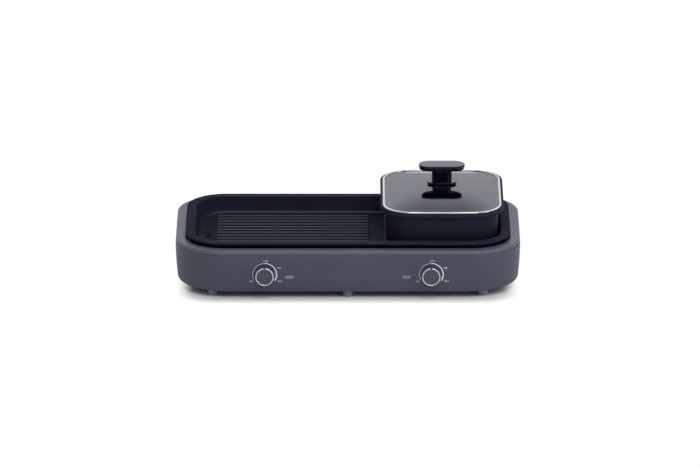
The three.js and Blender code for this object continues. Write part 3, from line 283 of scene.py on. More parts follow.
def non_stick_coat(name, colour, grain_along, painted_highlight_bands=(), painted_shade_span=None, **constants):
    """A sprayed coating: faint orange peel, specks of mica and streaks along the casting.

    A painted highlight makes it paler between the two heights of each entry in painted_highlight_bands, by
    the share that comes third.
    A painted shade darkens it from the upper height of painted_shade_span down to the lower one.
    """
    finish = Finish(name, **constants)
    peel = finish.noise(1.1, 2)
    streak = finish.noise(1.6, 3, 0.6, grain_along)
    cloud = finish.noise(38, 3)
    speck = finish.grains(1.4).to_range(0.0, 0.16, 1.0, 0.0)
    rare = finish.noise(2.3, 0).to_range(0.62, 0.66)
    base = (cloud * 0.45 + streak * 0.55).to_range(0.35, 0.65)
    surface = base.blend(shaded(colour, 0.87), shaded(colour, 1.15))
    surface = (speck * rare * 0.35).blend(surface, tint(96, 98, 108))
    # Painted highlight: raised edges, which catch light, are made paler.
    surface = (finish.edges() * 0.3).blend(surface, tint(56, 58, 72))
    height = finish.along(2)
    if painted_shade_span:
        # Painted shade: darker towards the foot, where the wall lies low in the tray.
        surface = height.to_range(*painted_shade_span, 1, 0).blend(surface, tint(6, 7, 15))
    # Painted highlight: paler bands at the given heights, faded in along x and broken by the streaks.
    for low, high, share in painted_highlight_bands:
        painted_highlight = height.to_range(low - 0.2, low) * height.to_range(high, high + 0.4, 1, 0)
        painted_highlight = painted_highlight * finish.along(0).to_range(*HIGHLIGHT_FADE_IN) * streak.to_range(0.2, 0.6, 0.75, 1)
        surface = (painted_highlight * share).blend(surface, tint(70, 73, 86))
    roughness = (peel * 0.5 + streak * 0.5).spread(0.42, 0.56)
    texture = peel * 0.6 + streak * 0.4
    return finish.use(Base_Color=surface, Roughness=roughness, Normal=finish.bump(texture, 0.03))


def polished_steel(name, colour, rough=(0.05, 0.12), metallic=1.0):
    """Polished metal with a few smears."""
    finish = Finish(name, Metallic=metallic)
    smear = finish.noise(9, 3)
    fine = finish.noise(0.5, 2)
    surface = smear.spread().blend(shaded(colour, 0.94), colour)
    roughness = (smear * 0.6 + fine * 0.4).spread(*rough)
    return finish.use(Base_Color=surface, Roughness=roughness, Normal=finish.bump(fine, 0.002))


def rolled_steel(name, colour, along=(12, 1, 1), rough=(0.28, 0.42)):
    """Plain rolled sheet: fine lines along the roll and a few dull patches."""
    finish = Finish(name, Metallic=1.0)
    lines = finish.noise(0.5, 3, 0.6, along)
    patch = finish.noise(26, 4)
    surface = patch.to_range(0.45, 0.7).blend(colour, shaded(colour, 0.72))
    surface = lines.spread().blend(surface, shaded(colour, 1.05))
    roughness = (lines * 0.5 + patch * 0.5).spread(*rough)
    return finish.use(Base_Color=surface, Roughness=roughness, Normal=finish.bump(lines, 0.01))


def heated_tube(name):
    """Heating tube: steel sheath turned brown and blue in patches by its own heat."""
    finish = Finish(name, Metallic=0.85)
    patch = finish.noise(18, 3)
    fine = finish.noise(0.6, 2)
    stops = [
        (0.30, tint(92, 84, 80)),
        (0.46, tint(112, 96, 84)),
        (0.58, tint(86, 84, 98)),
        (0.70, tint(124, 120, 118)),
    ]
    surface = finish.start.node("ShaderNodeValToRGB", {"stops": stops}, {"Fac": patch})
    roughness = (patch * 0.4 + fine * 0.6).spread(0.38, 0.58)
    return finish.use(Base_Color=surface, Roughness=roughness, Normal=finish.bump(fine, 0.02))


def clear_glass(name):
    """Tempered glass with a faint grey tint and the slightest waviness."""
    finish = Finish(name, IOR=1.44, **{"Transmission Weight": 1.0, "Specular Tint": (0.78, 0.86, 1, 1)})
    wave = finish.noise(45, 1)
    smear = finish.noise(7, 3)
    surface = smear.spread().blend((0.78, 0.81, 0.86, 1), (0.84, 0.86, 0.90, 1))
    roughness = smear.to_range(0.35, 0.75, 0.0, 0.03)
    return finish.use(Base_Color=surface, Roughness=roughness, Normal=finish.bump(wave, 0.05))


def lens_plastic(name):
    """Clouded clear plastic of the lamp windows."""
    finish = Finish(name, IOR=1.46, **{"Subsurface Weight": 0.15})
    cloud = finish.noise(3.5, 2)
    fine = finish.noise(0.25, 2)
    surface = cloud.spread().blend(tint(110, 114, 127), tint(128, 132, 145))
    roughness = fine.spread(0.22, 0.34)
    return finish.use(Base_Color=surface, Roughness=roughness, Normal=finish.bump(fine, 0.01))


def speckled(name, colour, dark, grain, rough, depth=0.02):
    """A dull body with fine specks, as ceramic, rubber and wire sleeves have."""
    finish = Finish(name)
    fine = finish.noise(grain, 3)
    cloud = finish.noise(grain * 14, 2)
    speck = finish.noise(grain * 1.7, 0).to_range(0.66, 0.72)
    surface = (fine * 0.5 + cloud * 0.5).to_range(0.35, 0.65).blend(dark, colour)
    surface = (speck * 0.5).blend(surface, dark)
    return finish.use(Base_Color=surface, Roughness=fine.spread(*rough), Normal=finish.bump(fine, depth))


def printed_ink(name, colour):
    """Pad-printed ink, a little thin and uneven."""
    finish = Finish(name)
    thin = finish.noise(0.4, 3)
    surface = thin.to_range(0.3, 0.6).blend(shaded(colour, 0.75), colour)
    return finish.use(Base_Color=surface, Roughness=thin.spread(0.4, 0.55), Normal=finish.bump(thin, 0.004))


slate = moulded_plastic("slate_case_plastic", tint(65, 70, 85))
slate_rim = moulded_plastic("slate_rim_plastic", tint(84, 87, 101), rough=(0.28, 0.38))
dial_face = moulded_plastic("slate_dial_plastic", tint(64, 69, 82), grain=0.22, rough=(0.3, 0.38))
black_moulded = moulded_plastic(
    "black_moulded_plastic", tint(4, 6, 19), rough=(0.08, 0.14), depth=0.003,
    IOR=1.8, **{"Coat Weight": 1.0, "Coat IOR": 1.26, "Specular Tint": (0.04, 0.06, 0.14, 1)}
)
black_cover = moulded_plastic("black_cover_plastic", tint(34, 35, 40), rough=(0.5, 0.62), depth=0.03)
# The tray's coat gets a painted highlight on the ledge and ridge crests, and a faint one on the rim top.
tray_coat = non_stick_coat(
    "tray_non_stick", tint(33, 37, 51), (1, 9, 1), painted_highlight_bands=((65.95, 66.4, 1), (89.7, 91, 0.15)), IOR=1.06
)
# The pot's coat gets painted shade towards its foot.
pot_coat = non_stick_coat("pot_non_stick", tint(35, 39, 53), (1, 1, 9), painted_shade_span=(68, 122), IOR=1.12)
bright_ring = polished_steel("polished_ring_steel", (0.88, 0.89, 0.90, 1))
bright_trim = polished_steel("satin_dial_trim", (0.87, 0.91, 1.0, 1), (0.2, 0.3), 0.5)
sheet = rolled_steel("rolled_sheet_steel", (0.56, 0.57, 0.58, 1))
turned_steel = rolled_steel("turned_shaft_steel", (0.6, 0.61, 0.62, 1), (1, 6, 1))
tube_sheath = heated_tube("heating_tube_sheath")
glass = clear_glass("lid_glass_clear")
window = lens_plastic("lamp_window_plastic")
ceramic = speckled("ceramic_body", tint(216, 210, 196), tint(170, 162, 146), 0.5, (0.55, 0.75))
brass = rolled_steel("contact_brass", (0.66, 0.5, 0.22, 1), (1, 8, 1), (0.2, 0.34))
rubber = speckled("foot_rubber_grey", tint(142, 144, 154), tint(118, 120, 130), 0.4, (0.7, 0.85), 0.03)
red_sleeve = speckled("red_wire_sleeve", tint(150, 42, 34), tint(118, 30, 26), 0.3, (0.45, 0.6))
green_sleeve = speckled("green_wire_sleeve", tint(86, 128, 62), tint(170, 160, 60), 0.3, (0.45, 0.6))
white_ink = printed_ink("white_panel_ink", tint(246, 248, 255))
grey_ink = printed_ink("pale_panel_ink", tint(200, 204, 219))


# ---- Mesh building ----

def outline(width, depth, corner, z, steps=CORNER_STEPS):
    """Places round a rectangle with round corners, a quarter of a circle at each corner."""
    radius = min(max(corner, SHARPEST), width / 2 - LEAST_SIDE, depth / 2 - LEAST_SIDE)
    places = []
    for quarter, (side_x, side_y) in enumerate(CORNER_SIGNS):
        for step in range(steps + 1):
            turn = (quarter + step / steps) * QUARTER
            x = side_x * (width / 2 - radius) + radius * math.cos(turn)
            y = side_y * (depth / 2 - radius) + radius * math.sin(turn)
            places.append(Vector((x, y, z)))
    return places


def stacked(outlines, closed=False):
    """Draws a loop of edges out through these outlines. An open stack gets a flat face at both ends."""
    bm = bmesh.new()
    first, *others = outlines
    ring = bmesh.ops.create_circle(bm, segments=len(first), radius=1)["verts"]
    order = {vert: i for i, vert in enumerate(ring)}
    for vert, i in order.items():
        vert.co = first[i]
    start = front = bm.edges[:]
    for places in others + [first] * closed:
        made = bmesh.ops.extrude_edge_only(bm, edges=front)["geom"]
        drawn = {part: None for part in made if isinstance(part, bmesh.types.BMVert)}
        front = [part for part in made if isinstance(part, bmesh.types.BMEdge) and part.is_boundary]
        for vert in drawn:
            near = [edge.other_vert(vert) for edge in vert.link_edges]
            drawn[vert] = next(order[other] for other in near if other in order)
            vert.co = places[drawn[vert]]
        order = drawn
    if not closed:
        for loop in (start, front):
            bmesh.ops.contextual_create(bm, geom=loop)
    return bm


def rounded_section(corners, steps):
    """A section whose corners (inset, height, radius) are rounded, with a support point by each arc.

    An arc takes at most ARC_SHARE of each side beside it, and its support points lie SUPPORT_REACH times as
    far from the corner as its ends.
    """
    points = []
    count = len(corners)
    for i, (x, z, radius) in enumerate(corners):
        corner = Vector((x, z))
        if radius == 0:
            points.append(corner)
            continue
        before = Vector(corners[(i - 1) % count][:2]) - corner
        after = Vector(corners[(i + 1) % count][:2]) - corner
        half = before.angle(after) / 2
        reach = min(radius / math.tan(half), before.length * ARC_SHARE, after.length * ARC_SHARE)
        start = corner + before.normalized() * reach
        end = corner + after.normalized() * reach
        points.append(corner + before.normalized() * reach * SUPPORT_REACH)
        middle_arm = (before.normalized() + after.normalized()).normalized()
        centre = corner + middle_arm * (reach / math.cos(half))
        radius_now = reach * math.tan(half)
        first = (start - centre).normalized()
        last = (end - centre).normalized()
        sweep = first.angle(last)
        for step in range(steps + 1):
            share = step / steps
            arm = (first * math.sin((1 - share) * sweep) + last * math.sin(share * sweep)) / math.sin(sweep)
            points.append(centre + arm * radius_now)
        points.append(corner + after.normalized() * reach * SUPPORT_REACH)
    return points


def swept(section, width, depth, corner, closed=True, steps=CORNER_STEPS):
    """Carries a section (inset from the outline, height) round a rectangle with round corners.

    The corner is a radius, or a function that gives the radius at a height.
    """
    corner_at = corner if callable(corner) else (lambda z: corner)
    return stacked([
        outline(width - 2 * x, depth - 2 * x, corner_at(z) - x, z, steps)
        for x, z in section
    ], closed)


def slab(width, depth, corner, low, high, edge=0.0, steps=8):
    """An upright block with round corners and softened top and bottom edges."""
    if edge == 0:
        return swept([(0, low), (0, high)], width, depth, corner, False, steps)
    corners = [(width, low, 0), (0, low, edge), (0, high, edge), (width, high, 0)]
    section = rounded_section(corners, 3)[1:-1]
    return swept(section, width, depth, corner, False, steps)


def lathed(profile, steps=48):
    """A solid turned about the z axis from a profile of (radius, height) that starts and ends on the axis."""
    bm = bmesh.new()
    corners = [bm.verts.new((radius, 0, z)) for radius, z in profile]
    edges = [bm.edges.new(pair) for pair in zip(corners, corners[1:])]
    geom = corners + edges
    bmesh.ops.spin(
        bm, geom=geom, cent=(0, 0, 0), axis=(0, 0, 1), angle=math.tau, steps=steps, use_merge=True
    )
    bmesh.ops.remove_doubles(bm, verts=bm.verts, dist=0.001)
    return bm


def outward(bm):
    """Merges doubled corners and turns the faces of every closed shell outward."""
    bmesh.ops.remove_doubles(bm, verts=bm.verts, dist=0.0005)
    bmesh.ops.recalc_face_normals(bm, faces=bm.faces)
    waiting = set(bm.faces)
    while waiting:
        front = [waiting.pop()]
        shell = []
        while front:
            face = front.pop()
            shell.append(face)
            near = {other for edge in face.edges for other in edge.link_faces if other in waiting}
            waiting -= near
            front += near
        if sum(face.calc_area() * face.normal.dot(face.calc_center_median()) for face in shell) < 0:
            bmesh.ops.reverse_faces(bm, faces=shell)


def moved(bm, *steps):
    """The mesh after these matrices in turn."""
    for step in steps:
        bmesh.ops.transform(bm, matrix=step, verts=bm.verts)
    return bm


def shift(x=0, y=0, z=0):
    return Matrix.Translation((x, y, z))


def rotation(angle, axis="Z"):
    return Matrix.Rotation(angle, 4, axis)


def ellipsoid(halves, segments):
    """A round body with these half sizes along x, y and z, for a hollow."""
    bm = bmesh.new()
    bmesh.ops.create_uvsphere(bm, u_segments=segments, v_segments=segments // 2, radius=1)
    return moved(bm, Matrix.Diagonal((*halves, 1)))


def bores(size, low, high, places):
    """Upright round pegs at these places, for holes."""
    return [moved(slab(size, size, size / 2, low, high), shift(x, y)) for x, y in places]


def as_mesh(name, bm):
    """The mesh of a draft, which ends here."""
    mesh = bpy.data.meshes.new(name)
    bm.to_mesh(mesh)
    bm.free()
    return mesh


def placed(name, data):
    """A new object in the scene."""
    thing = bpy.data.objects.new(name, data)
    bpy.context.scene.collection.objects.link(thing)
    return thing


def gathered(parts):
    """Several meshes as one."""
    whole = bmesh.new()
    for part in parts:
        mesh = as_mesh("part", part)
        whole.from_mesh(mesh)
        bpy.data.meshes.remove(mesh)
    return whole


def bench_object(bm):
    """A mesh on the bench, for a boolean."""
    outward(bm)
    return placed("bench", as_mesh("bench", bm))


def combined(body, joined=(), cut=(), kept=()):
    """The body with other closed meshes joined on, cut out, or kept as its only part."""
    base = bench_object(body)
    tools = []
    for operation, parts in (("UNION", joined), ("INTERSECT", kept), ("DIFFERENCE", cut)):
        for part in parts:
            tool = bench_object(part)
            tools.append(tool)
            step = base.modifiers.new(operation, "BOOLEAN")
            step.operation = operation
            step.solver = "EXACT"
            step.object = tool
    depsgraph = bpy.context.evaluated_depsgraph_get()
    result = bmesh.new()
    result.from_object(base, depsgraph)
    for thing in (base, *tools):
        mesh = thing.data
        bpy.data.objects.remove(thing)
        bpy.data.meshes.remove(mesh)
    return result


def from_curve(curve):
    """The mesh that a curve or a text makes. The curve ends here."""
    thing = placed("bench", curve)
    depsgraph = bpy.context.evaluated_depsgraph_get()
    mesh = bpy.data.meshes.new_from_object(thing.evaluated_get(depsgraph))
    bm = bmesh.new()
    bm.from_mesh(mesh)
    bpy.data.objects.remove(thing)
    bpy.data.curves.remove(curve)
    bpy.data.meshes.remove(mesh)
    return bm


def keep(name, bm, material, body, slot, *stands_for):
    """Finishes a mesh as a piece of the model that rides on a body."""
    outward(bm)
    for face in bm.faces:
        face.smooth = True
    mesh = as_mesh(name, moved(bm, shift(y=CASE_SHIFT), Matrix.Scale(MM, 4)))
    mesh.set_sharp_from_angle(angle=CREASE)
    mesh.materials.append(material)
    piece = placed(name, mesh)
    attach(piece, body)
    if stands_for:
        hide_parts(*stands_for)


# ---- Case, rim ring and feet ----

def case_corner(z):
    """The plan corner grows from the seam down to the foot."""
    drop = (CASE_SEAM - z) / (CASE_SEAM - CASE_FOOT)
    return CASE_CORNER + (CASE_FOOT_CORNER - CASE_CORNER) * drop


def case_inset(z):
    """How far the case's outer wall stands in from its outline at a height.

    The wall follows a quadratic curve, and Newton's steps find the place along it that has this height.
    """
    low = CASE_FOOT + CASE_ROUND
    middle = (CASE_FOOT + CASE_SEAM) / 2
    along = (z - low) / (LEAN_TOP - low)
    for _ in range(NEWTON_STEPS):
        height = (1 - along) ** 2 * low + 2 * along * (1 - along) * middle + along ** 2 * LEAN_TOP
        slope = 2 * (1 - along) * (middle - low) + 2 * along * (LEAN_TOP - middle)
        along += (z - height) / slope
    return CASE_LEAN * (1 - along) ** 2


def case_wall():
    """The outer side of the case in section, from the flat foot up to the softened seam edge."""
    foot = CASE_LEAN + CASE_ROUND
    section = [Vector((foot + FOOT_FLAT, CASE_FOOT))]
    for step in range(9):
        turn = step / 8 * QUARTER
        x = foot - CASE_ROUND * math.sin(turn)
        section.append(Vector((x, CASE_FOOT + CASE_ROUND * (1 - math.cos(turn)))))
    low, high = CASE_FOOT + CASE_ROUND, CASE_SEAM - CASE_EDGE
    for step in range(1, 17):
        z = low + (high - low) * step / 16
        section.append(Vector((case_inset(z), z)))
    for step in range(1, 5):
        turn = step / 4 * QUARTER
        section.append(Vector((CASE_EDGE * (1 - math.cos(turn)), high + CASE_EDGE * math.sin(turn))))
    return section


def case_holes():
    """What is cut out of the case wall: two lamp windows, the inlet and the drawer's mouth."""
    lens_gap, inlet_gap, drawer_gap = 0.6, 1, 1
    face = rotation(QUARTER, "X")
    holes = []
    for side in (-1, 1):
        hole = slab(LENS_LONG + lens_gap, LENS_TALL + lens_gap, LENS_TALL / 2, *WALL_CUT)
        holes.append(moved(hole, face, shift(side * LAMP_X, -CASE_DEPTH / 2, LAMP_Z)))
    inlet = slab(INLET_WIDE + inlet_gap, INLET_TALL + inlet_gap, 3, *WALL_CUT)
    holes.append(moved(inlet, face, shift(0, CASE_DEPTH / 2, INLET_Z)))
    low, high = DRAWER_LOW - drawer_gap / 2, DRAWER_HIGH + drawer_gap / 2
    mouth = slab(30, DRAWER_WIDE + drawer_gap, 1, low, high)
    holes.append(moved(mouth, shift(-CASE_WIDTH / 2, DRAWER_Y)))
    return holes


def make_case():
    section = case_wall()
    section += [
        Vector((CASE_WALL, CASE_SEAM)),
        Vector((CASE_WALL + CASE_LEAN, CASE_FOOT + CASE_ROUND)),
        Vector((CASE_LEAN + CASE_ROUND + FOOT_LIP, CASE_FOOT)),
    ]
    shell = swept(section, CASE_WIDTH, CASE_DEPTH, case_corner)
    keep("housing_shell", combined(shell, cut=case_holes()), slate, "base", "case_slate", "housing")


def make_rim():
    """The ring that closes the case: a top band, a skirt round the mouth and a lip inside the wall."""
    under = RIM_TOP - RIM_WALL
    seam = CASE_SEAM + RIM_SEAM_GAP
    lip_in = RIM_LIP_INSET + RIM_LIP_WALL
    section = rounded_section([
        (RIM_SETBACK, seam, 0.7),
        (RIM_SETBACK, RIM_TOP, 2.6),
        (MOUTH_INSET, RIM_TOP, 2.2),
        (MOUTH_INSET, MOUTH_LOW, 0.3),
        (MOUTH_INSET - RIM_WALL, MOUTH_LOW, 0.3),
        (MOUTH_INSET - RIM_WALL, under, 0),
        (lip_in, under, 0),
        (lip_in, RIM_LIP_LOW, 0),
        (RIM_LIP_INSET, RIM_LIP_LOW, 0),
        (RIM_LIP_INSET, seam, 0),
    ], 6)
    ring = swept(section, CASE_WIDTH, CASE_DEPTH, CASE_CORNER)
    keep("rim_ring", ring, slate_rim, "base", "case_rim", "top_ring")


def make_feet():
    profile = [
        (0, 0), (6.6, 0), (7.6, 0.3), (8.2, 1.0), (8.3, 2.0),
        (8.0, 11.2), (3.5, 11.2), (3.5, 14.3), (5, 14.3), (3.5, 17.3), (0, 17.3),
    ]
    columns = (("left", -FOOT_X, FOOT_Y), ("middle", 0, MIDDLE_FOOT_Y), ("right", FOOT_X, FOOT_Y))
    for row, side in (("front", -1), ("rear", 1)):
        for column, x, y in columns:
            foot = moved(lathed(profile), shift(x, side * y))
            label = f"{row}_{column}"
            keep(f"{label}_rubber_foot", foot, rubber, "base", "foot_rubber", f"{label}_foot")


# ---- Griddle tray ----

def make_ridge(length, tiers):
    """A long low bar with blunt ends, stacked from its foot to its flat crest as (half width, height)."""
    foot = tiers[0][0]
    return stacked([
        outline(length - 2 * (foot - half), 2 * half, min(half, RIDGE_END), z, 6)
        for half, z in tiers
    ])


def tray_section():
    """The tray's wall in section, from under the floor over the rim to the top of the floor."""
    under = TRAY_FLOOR - TRAY_PLATE
    wall_in = TRAY_RIM + TRAY_LEAN
    wall_out = wall_in - TRAY_PLATE + 1.4
    low = TRAY_TOP - TRAY_RIM_THICK
    floor_in = TRAY_DEPTH / 2 - 30
    return rounded_section([
        (floor_in, under, 0),
        (wall_out, under, 8),
        (TRAY_RIM - 3.4, low, 1.4),
        (0, low, 0.8),
        (0, TRAY_TOP, 1.6),
        (TRAY_RIM, TRAY_TOP, 2.4),
        (wall_in, TRAY_LEDGE, 1.5),
        (wall_in + LEDGE_WIDTH, TRAY_LEDGE, 0.5),
        (wall_in + LEDGE_WIDTH + 1, TRAY_FLOOR, 0.7),
        (floor_in, TRAY_FLOOR, 0),
    ], 6)


def make_tray():
    shell = swept(tray_section(), TRAY_WIDTH, TRAY_DEPTH, TRAY_CORNER, False)
    ridge_tiers = (
        (3.9, RIDGE_ROOT), (3.88, 62.6), (3.66, 64.7), (3.55, 65.3),
        (3.4, 65.7), (3.15, 66.0), (2.8, 66.15), (2.4, 66.2),
    )
    bar_tiers = ((2, RIDGE_ROOT), (1.95, 63.4), (1.75, 65.0), (1.45, 65.6), (1.05, 65.9), (0.6, 66.0))
    ridges = []
    for i in range(RIDGE_COUNT):
        y = ((RIDGE_COUNT - 1) / 2 - i) * RIDGE_PITCH
        ridge = make_ridge(RIDGE_RIGHT - RIDGE_LEFT, ridge_tiers)
        ridges.append(moved(ridge, shift((RIDGE_LEFT + RIDGE_RIGHT) / 2, y)))
    ridges.append(moved(make_ridge(BAR_LENGTH, bar_tiers), rotation(QUARTER), shift(BAR_X)))
    spout = lathed([
        (0, SPOUT_FOOT), (6.9, SPOUT_FOOT), (7.25, SPOUT_FOOT + 0.4), (8.5, 50.1), (9.6, 54), (12, 57.2),
        (17, RIDGE_ROOT), (0, RIDGE_ROOT),
    ])
    leg_profile = [(0, SHIELD_TOP), (3.6, SHIELD_TOP), (4.2, 41.2), (5.8, RIDGE_ROOT), (0, RIDGE_ROOT)]
    legs = []
    for x in LEGS_X:
        for side in (-1, 1):
            legs.append(moved(lathed(leg_profile, 24), shift(x, side * LEG_Y)))
    dish = moved(ellipsoid(DRAIN_DISH, 32), shift(*DRAIN, TRAY_FLOOR))
    tray = combined(
        shell,
        joined=[gathered(ridges), moved(spout, shift(*DRAIN)), gathered(legs)],
        cut=[dish, *bores(DRAIN_BORE, SPOUT_FOOT - 4, TRAY_FLOOR + 4, [DRAIN])],
    )
    keep("griddle_tray_casting", tray, tray_coat, "tray", "non_stick", "griddle_tray")


# ---- Pot and lid ----

def make_pot():
    foot = TRAY_FLOOR + POT_SEAT
    floor = foot + POT_PLATE
    band = POT_TOP - POT_BAND
    wall_in = POT_LIP + POT_WALL
    floor_in = POT_WIDTH / 2 - 20
    section = rounded_section([
        (floor_in, foot, 0),
        (POT_LIP + POT_LEAN, foot, POT_FILLET),
        (POT_LIP, band, 0.5),
        (0, band, 0.9),
        (0, POT_TOP, 1.1),
        (POT_STEP_INSET, POT_TOP, 0.5),
        (POT_STEP_INSET, POT_STEP, 0.3),
        (wall_in, POT_STEP, 0.9),
        (wall_in + POT_LEAN, floor, POT_FILLET),
        (floor_in, floor, 0),
    ], 8)
    shell = swept(section, POT_WIDTH, POT_DEPTH, POT_CORNER, False)
    keep("pot_casting", moved(shell, shift(POT_X)), pot_coat, "pot", "non_stick", "pot")


def make_lid_ring():
    """The steel sheet that is curled over and under the edge of the glass."""
    section = rounded_section([
        (0, LID_SEAT, 0.25),
        (0, RING_TOP, 1.0),
        (RING_CURL, RING_TOP, 0.2),
        (RING_CURL, RING_TOP - RING_SHEET, 0.1),
        (RING_SHEET, RING_TOP - RING_SHEET, 0),
        (RING_SHEET, LID_SEAT + RING_SHEET, 0),
        (RING_CURL, LID_SEAT + RING_SHEET, 0.1),
        (RING_CURL, LID_SEAT, 0.2),
    ], 5)
    ring = swept(section, LID_WIDTH, LID_DEPTH, LID_CORNER)
    keep("lid_steel_ring", moved(ring, shift(POT_X)), bright_ring, "lid", "polished_metal", "lid_ring")


def dome_height(x, y):
    """Height of the dome over its edge, 0 on the edge and 1 at the middle, with no crease anywhere."""
    across = abs(x) / (LID_WIDTH / 2 - DOME_SETBACK)
    along = abs(y) / (LID_DEPTH / 2 - DOME_SETBACK)
    square = (across ** DOME_SQUARENESS + along ** DOME_SQUARENESS) ** (1 / DOME_SQUARENESS)
    if square >= 1:
        return 0.0
    round_part = (across ** 2 + along ** 2) * DOME_ROUND
    share = square ** 2
    fall = (1 - share) * round_part + share * square ** 2
    return max(0.0, 1 - fall)


def make_glass():
    """The dome, as one closed stack of loops: out from the screw hole below, and back in above."""
    half_x, half_y = LID_WIDTH / 2 - GLASS_SETBACK, LID_DEPTH / 2 - GLASS_SETBACK
    corner = LID_CORNER - GLASS_SETBACK
    top = GLASS_LOW + GLASS_THICK
    sizes = [LEAST_LOOP + (1 - LEAST_LOOP) * i / GLASS_LOOPS for i in range(GLASS_LOOPS + 1)]
    plans = [(GLASS_BORE, GLASS_BORE, GLASS_BORE / 2)]
    plans += [(2 * half_x * size, 2 * half_y * size, corner * size) for size in sizes]
    tiers = [outline(*plan, GLASS_LOW) for plan in plans]
    tiers += [outline(*plan, top) for plan in reversed(plans)]
    bm = stacked(tiers, True)
    for vert in bm.verts:
        vert.co.z += (GLASS_APEX - top) * dome_height(vert.co.x, vert.co.y)
    keep("lid_glass_dome", moved(bm, shift(POT_X)), glass, "lid", "lid_glass", "lid_glass")


def make_lid_knob():
    """The collar on the glass, and the grip: a stem and a plate, each tier as (inset, height)."""
    low = GLASS_APEX + 0.3
    collar = slab(COLLAR_WIDTH, COLLAR_DEPTH, COLLAR_DEPTH / 2, low, low + COLLAR_HIGH, 0.9, 16)
    keep("lid_knob_collar", moved(collar, shift(POT_X)), black_moulded, "lid", "black_plastic", "lid_collar")
    stem_low = low + COLLAR_HIGH + 0.3
    plate_low = stem_low + STEM_HIGH
    stem = [(0, 0.01), (0, 19), (-0.3, 19.6), (-1, STEM_HIGH)]
    plate = [
        (9, 0), (3.2, 0), (2.2, 0.14), (1.4, 0.55), (0.75, 1.3), (0.3, 2.4), (0.08, 3.8), (0, 5.4),
        (0, 7.1), (0.12, 7.75), (0.45, 8.25), (1, 8.52), (1.8, 8.6), (9, 8.6),
    ]
    tiers = []
    for width, depth, foot, steps in (
        (STEM_WIDTH, STEM_DEPTH, stem_low, stem), (GRIP_WIDTH, GRIP_DEPTH, plate_low, plate),
    ):
        for x, z in steps:
            tiers.append(outline(width - 2 * x, depth - 2 * x, depth / 2 - x, foot + z, 16))
    grip = moved(stacked(tiers), shift(POT_X))
    keep("lid_knob_grip", grip, black_moulded, "lid", "black_plastic", "lid_knob")


# ---- Dials, lamps and printing ----

def facing_front(x, z):
    """Turns a piece drawn upright, with the panel at z = 0, to face the front at a place on it."""
    return shift(x, -CASE_DEPTH / 2, z) @ rotation(QUARTER, "X")


def make_dial(side, label):
    """The knob with its pointer, and the bright ring round its face, open at the pointer."""
    place = facing_front(side * DIAL_X, DIAL_Z)
    inner = DIAL_RADIUS - DIAL_RING_WIDTH
    neck = inner - 0.3
    ring_back = DIAL_REACH - DIAL_RING_DEEP
    face = DIAL_REACH - 0.5
    body = lathed([
        (0, 9.7), (3.3, 9.7), (3.3, 4.0), (5.6, 4.0), (5.6, 9.1), (11, 9.1),
        (12.1, 0.8), (13.7, 0.8), (13.9, 1.0), (14.2, ring_back - 0.3),
        (neck, ring_back - 0.3), (neck, face - 0.5), (neck - 0.15, face - 0.15),
        (neck - 0.5, face), (neck - 1.2, face), (neck - 2.5, face - 0.25), (0, face - 0.25),
    ], 96)
    pointer = moved(slab(2.2, 5.6, 0.6, face - 2, face + 0.25, 0.2), shift(y=DIAL_RADIUS - 2.9))
    knob = moved(combined(body, joined=[pointer]), place)
    dial = f"{label}_dial"
    keep(f"{label}_dial_knob", knob, dial_face, dial, "case_slate", f"{label}_knob")
    section = rounded_section([
        (inner, ring_back, 0.2), (DIAL_RADIUS - 0.1, ring_back, 0.3),
        (DIAL_RADIUS, DIAL_REACH, 0.75), (inner, DIAL_REACH, 0.75),
    ], 6)
    gap = math.asin(POINTER_HALF_GAP / DIAL_RADIUS)
    bm = bmesh.new()
    loop = bm.faces.new([bm.verts.new((radius, 0, z)) for radius, z in section])
    moved(bm, rotation(QUARTER + gap))
    bmesh.ops.spin(
        bm, geom=[loop, *loop.verts, *loop.edges], cent=(0, 0, 0), axis=(0, 0, 1),
        angle=math.tau - 2 * gap, steps=96,
    )
    ring = moved(bm, place)
    keep(f"{label}_dial_trim", ring, bright_trim, dial, "polished_metal", f"{label}_knob_ring")


def make_lamp_window(side, label):
    """The lens in its hole, with a flange behind the case wall."""
    deep = CASE_WALL + CASE_LEAN
    body = slab(LENS_LONG, LENS_TALL, LENS_TALL / 2, -deep - 0.8, 0.05 - case_inset(LAMP_Z), 0.5)
    flange = slab(LENS_LONG + 3.6, LENS_TALL + 3.6, LENS_TALL / 2, -deep - 1.65, -deep - 0.5)
    lens = moved(combined(body, joined=[flange]), facing_front(side * LAMP_X, LAMP_Z))
    keep(f"{label}_lamp_window", lens, window, "base", "lamp_lens", f"{label}_lamp_lens")


def on_panel(bm, x, z):
    """Lays flat printing on the curved front panel, as a skin of ink half sunk in it."""
    made = bmesh.ops.extrude_face_region(bm, geom=bm.faces[:])
    top = [part for part in made["geom"] if isinstance(part, bmesh.types.BMVert)]
    bmesh.ops.translate(bm, vec=(0, 0, INK_THICK), verts=top)
    moved(bm, shift(z=-INK_THICK / 2), facing_front(x, z))
    for vert in bm.verts:
        vert.co.y += case_inset(vert.co.z)
    return bm


def arc_band(radius, start, end, narrow, wide):
    """A flat band along an arc in degrees, whose width changes from start to end."""
    bm = bmesh.new()
    turn = math.radians(end - start)
    first = [bm.verts.new((radius + half, 0, 0)) for half in (-0.5, 0.5)]
    edge = bm.edges.new(first)
    bmesh.ops.spin(
        bm, geom=[*first, edge], cent=(0, 0, 0), axis=(0, 0, 1), angle=turn, steps=ARC_STEPS
    )
    for vert in bm.verts:
        angle = math.atan2(vert.co.y, vert.co.x) % math.tau
        share = (angle if turn > 0 else (math.tau - angle) % math.tau) / abs(turn)
        width = narrow + (wide - narrow) * min(1, share)
        length = vert.co.length
        vert.co *= (radius + (length - radius) * width) / length
    return moved(bm, rotation(math.radians(start)))


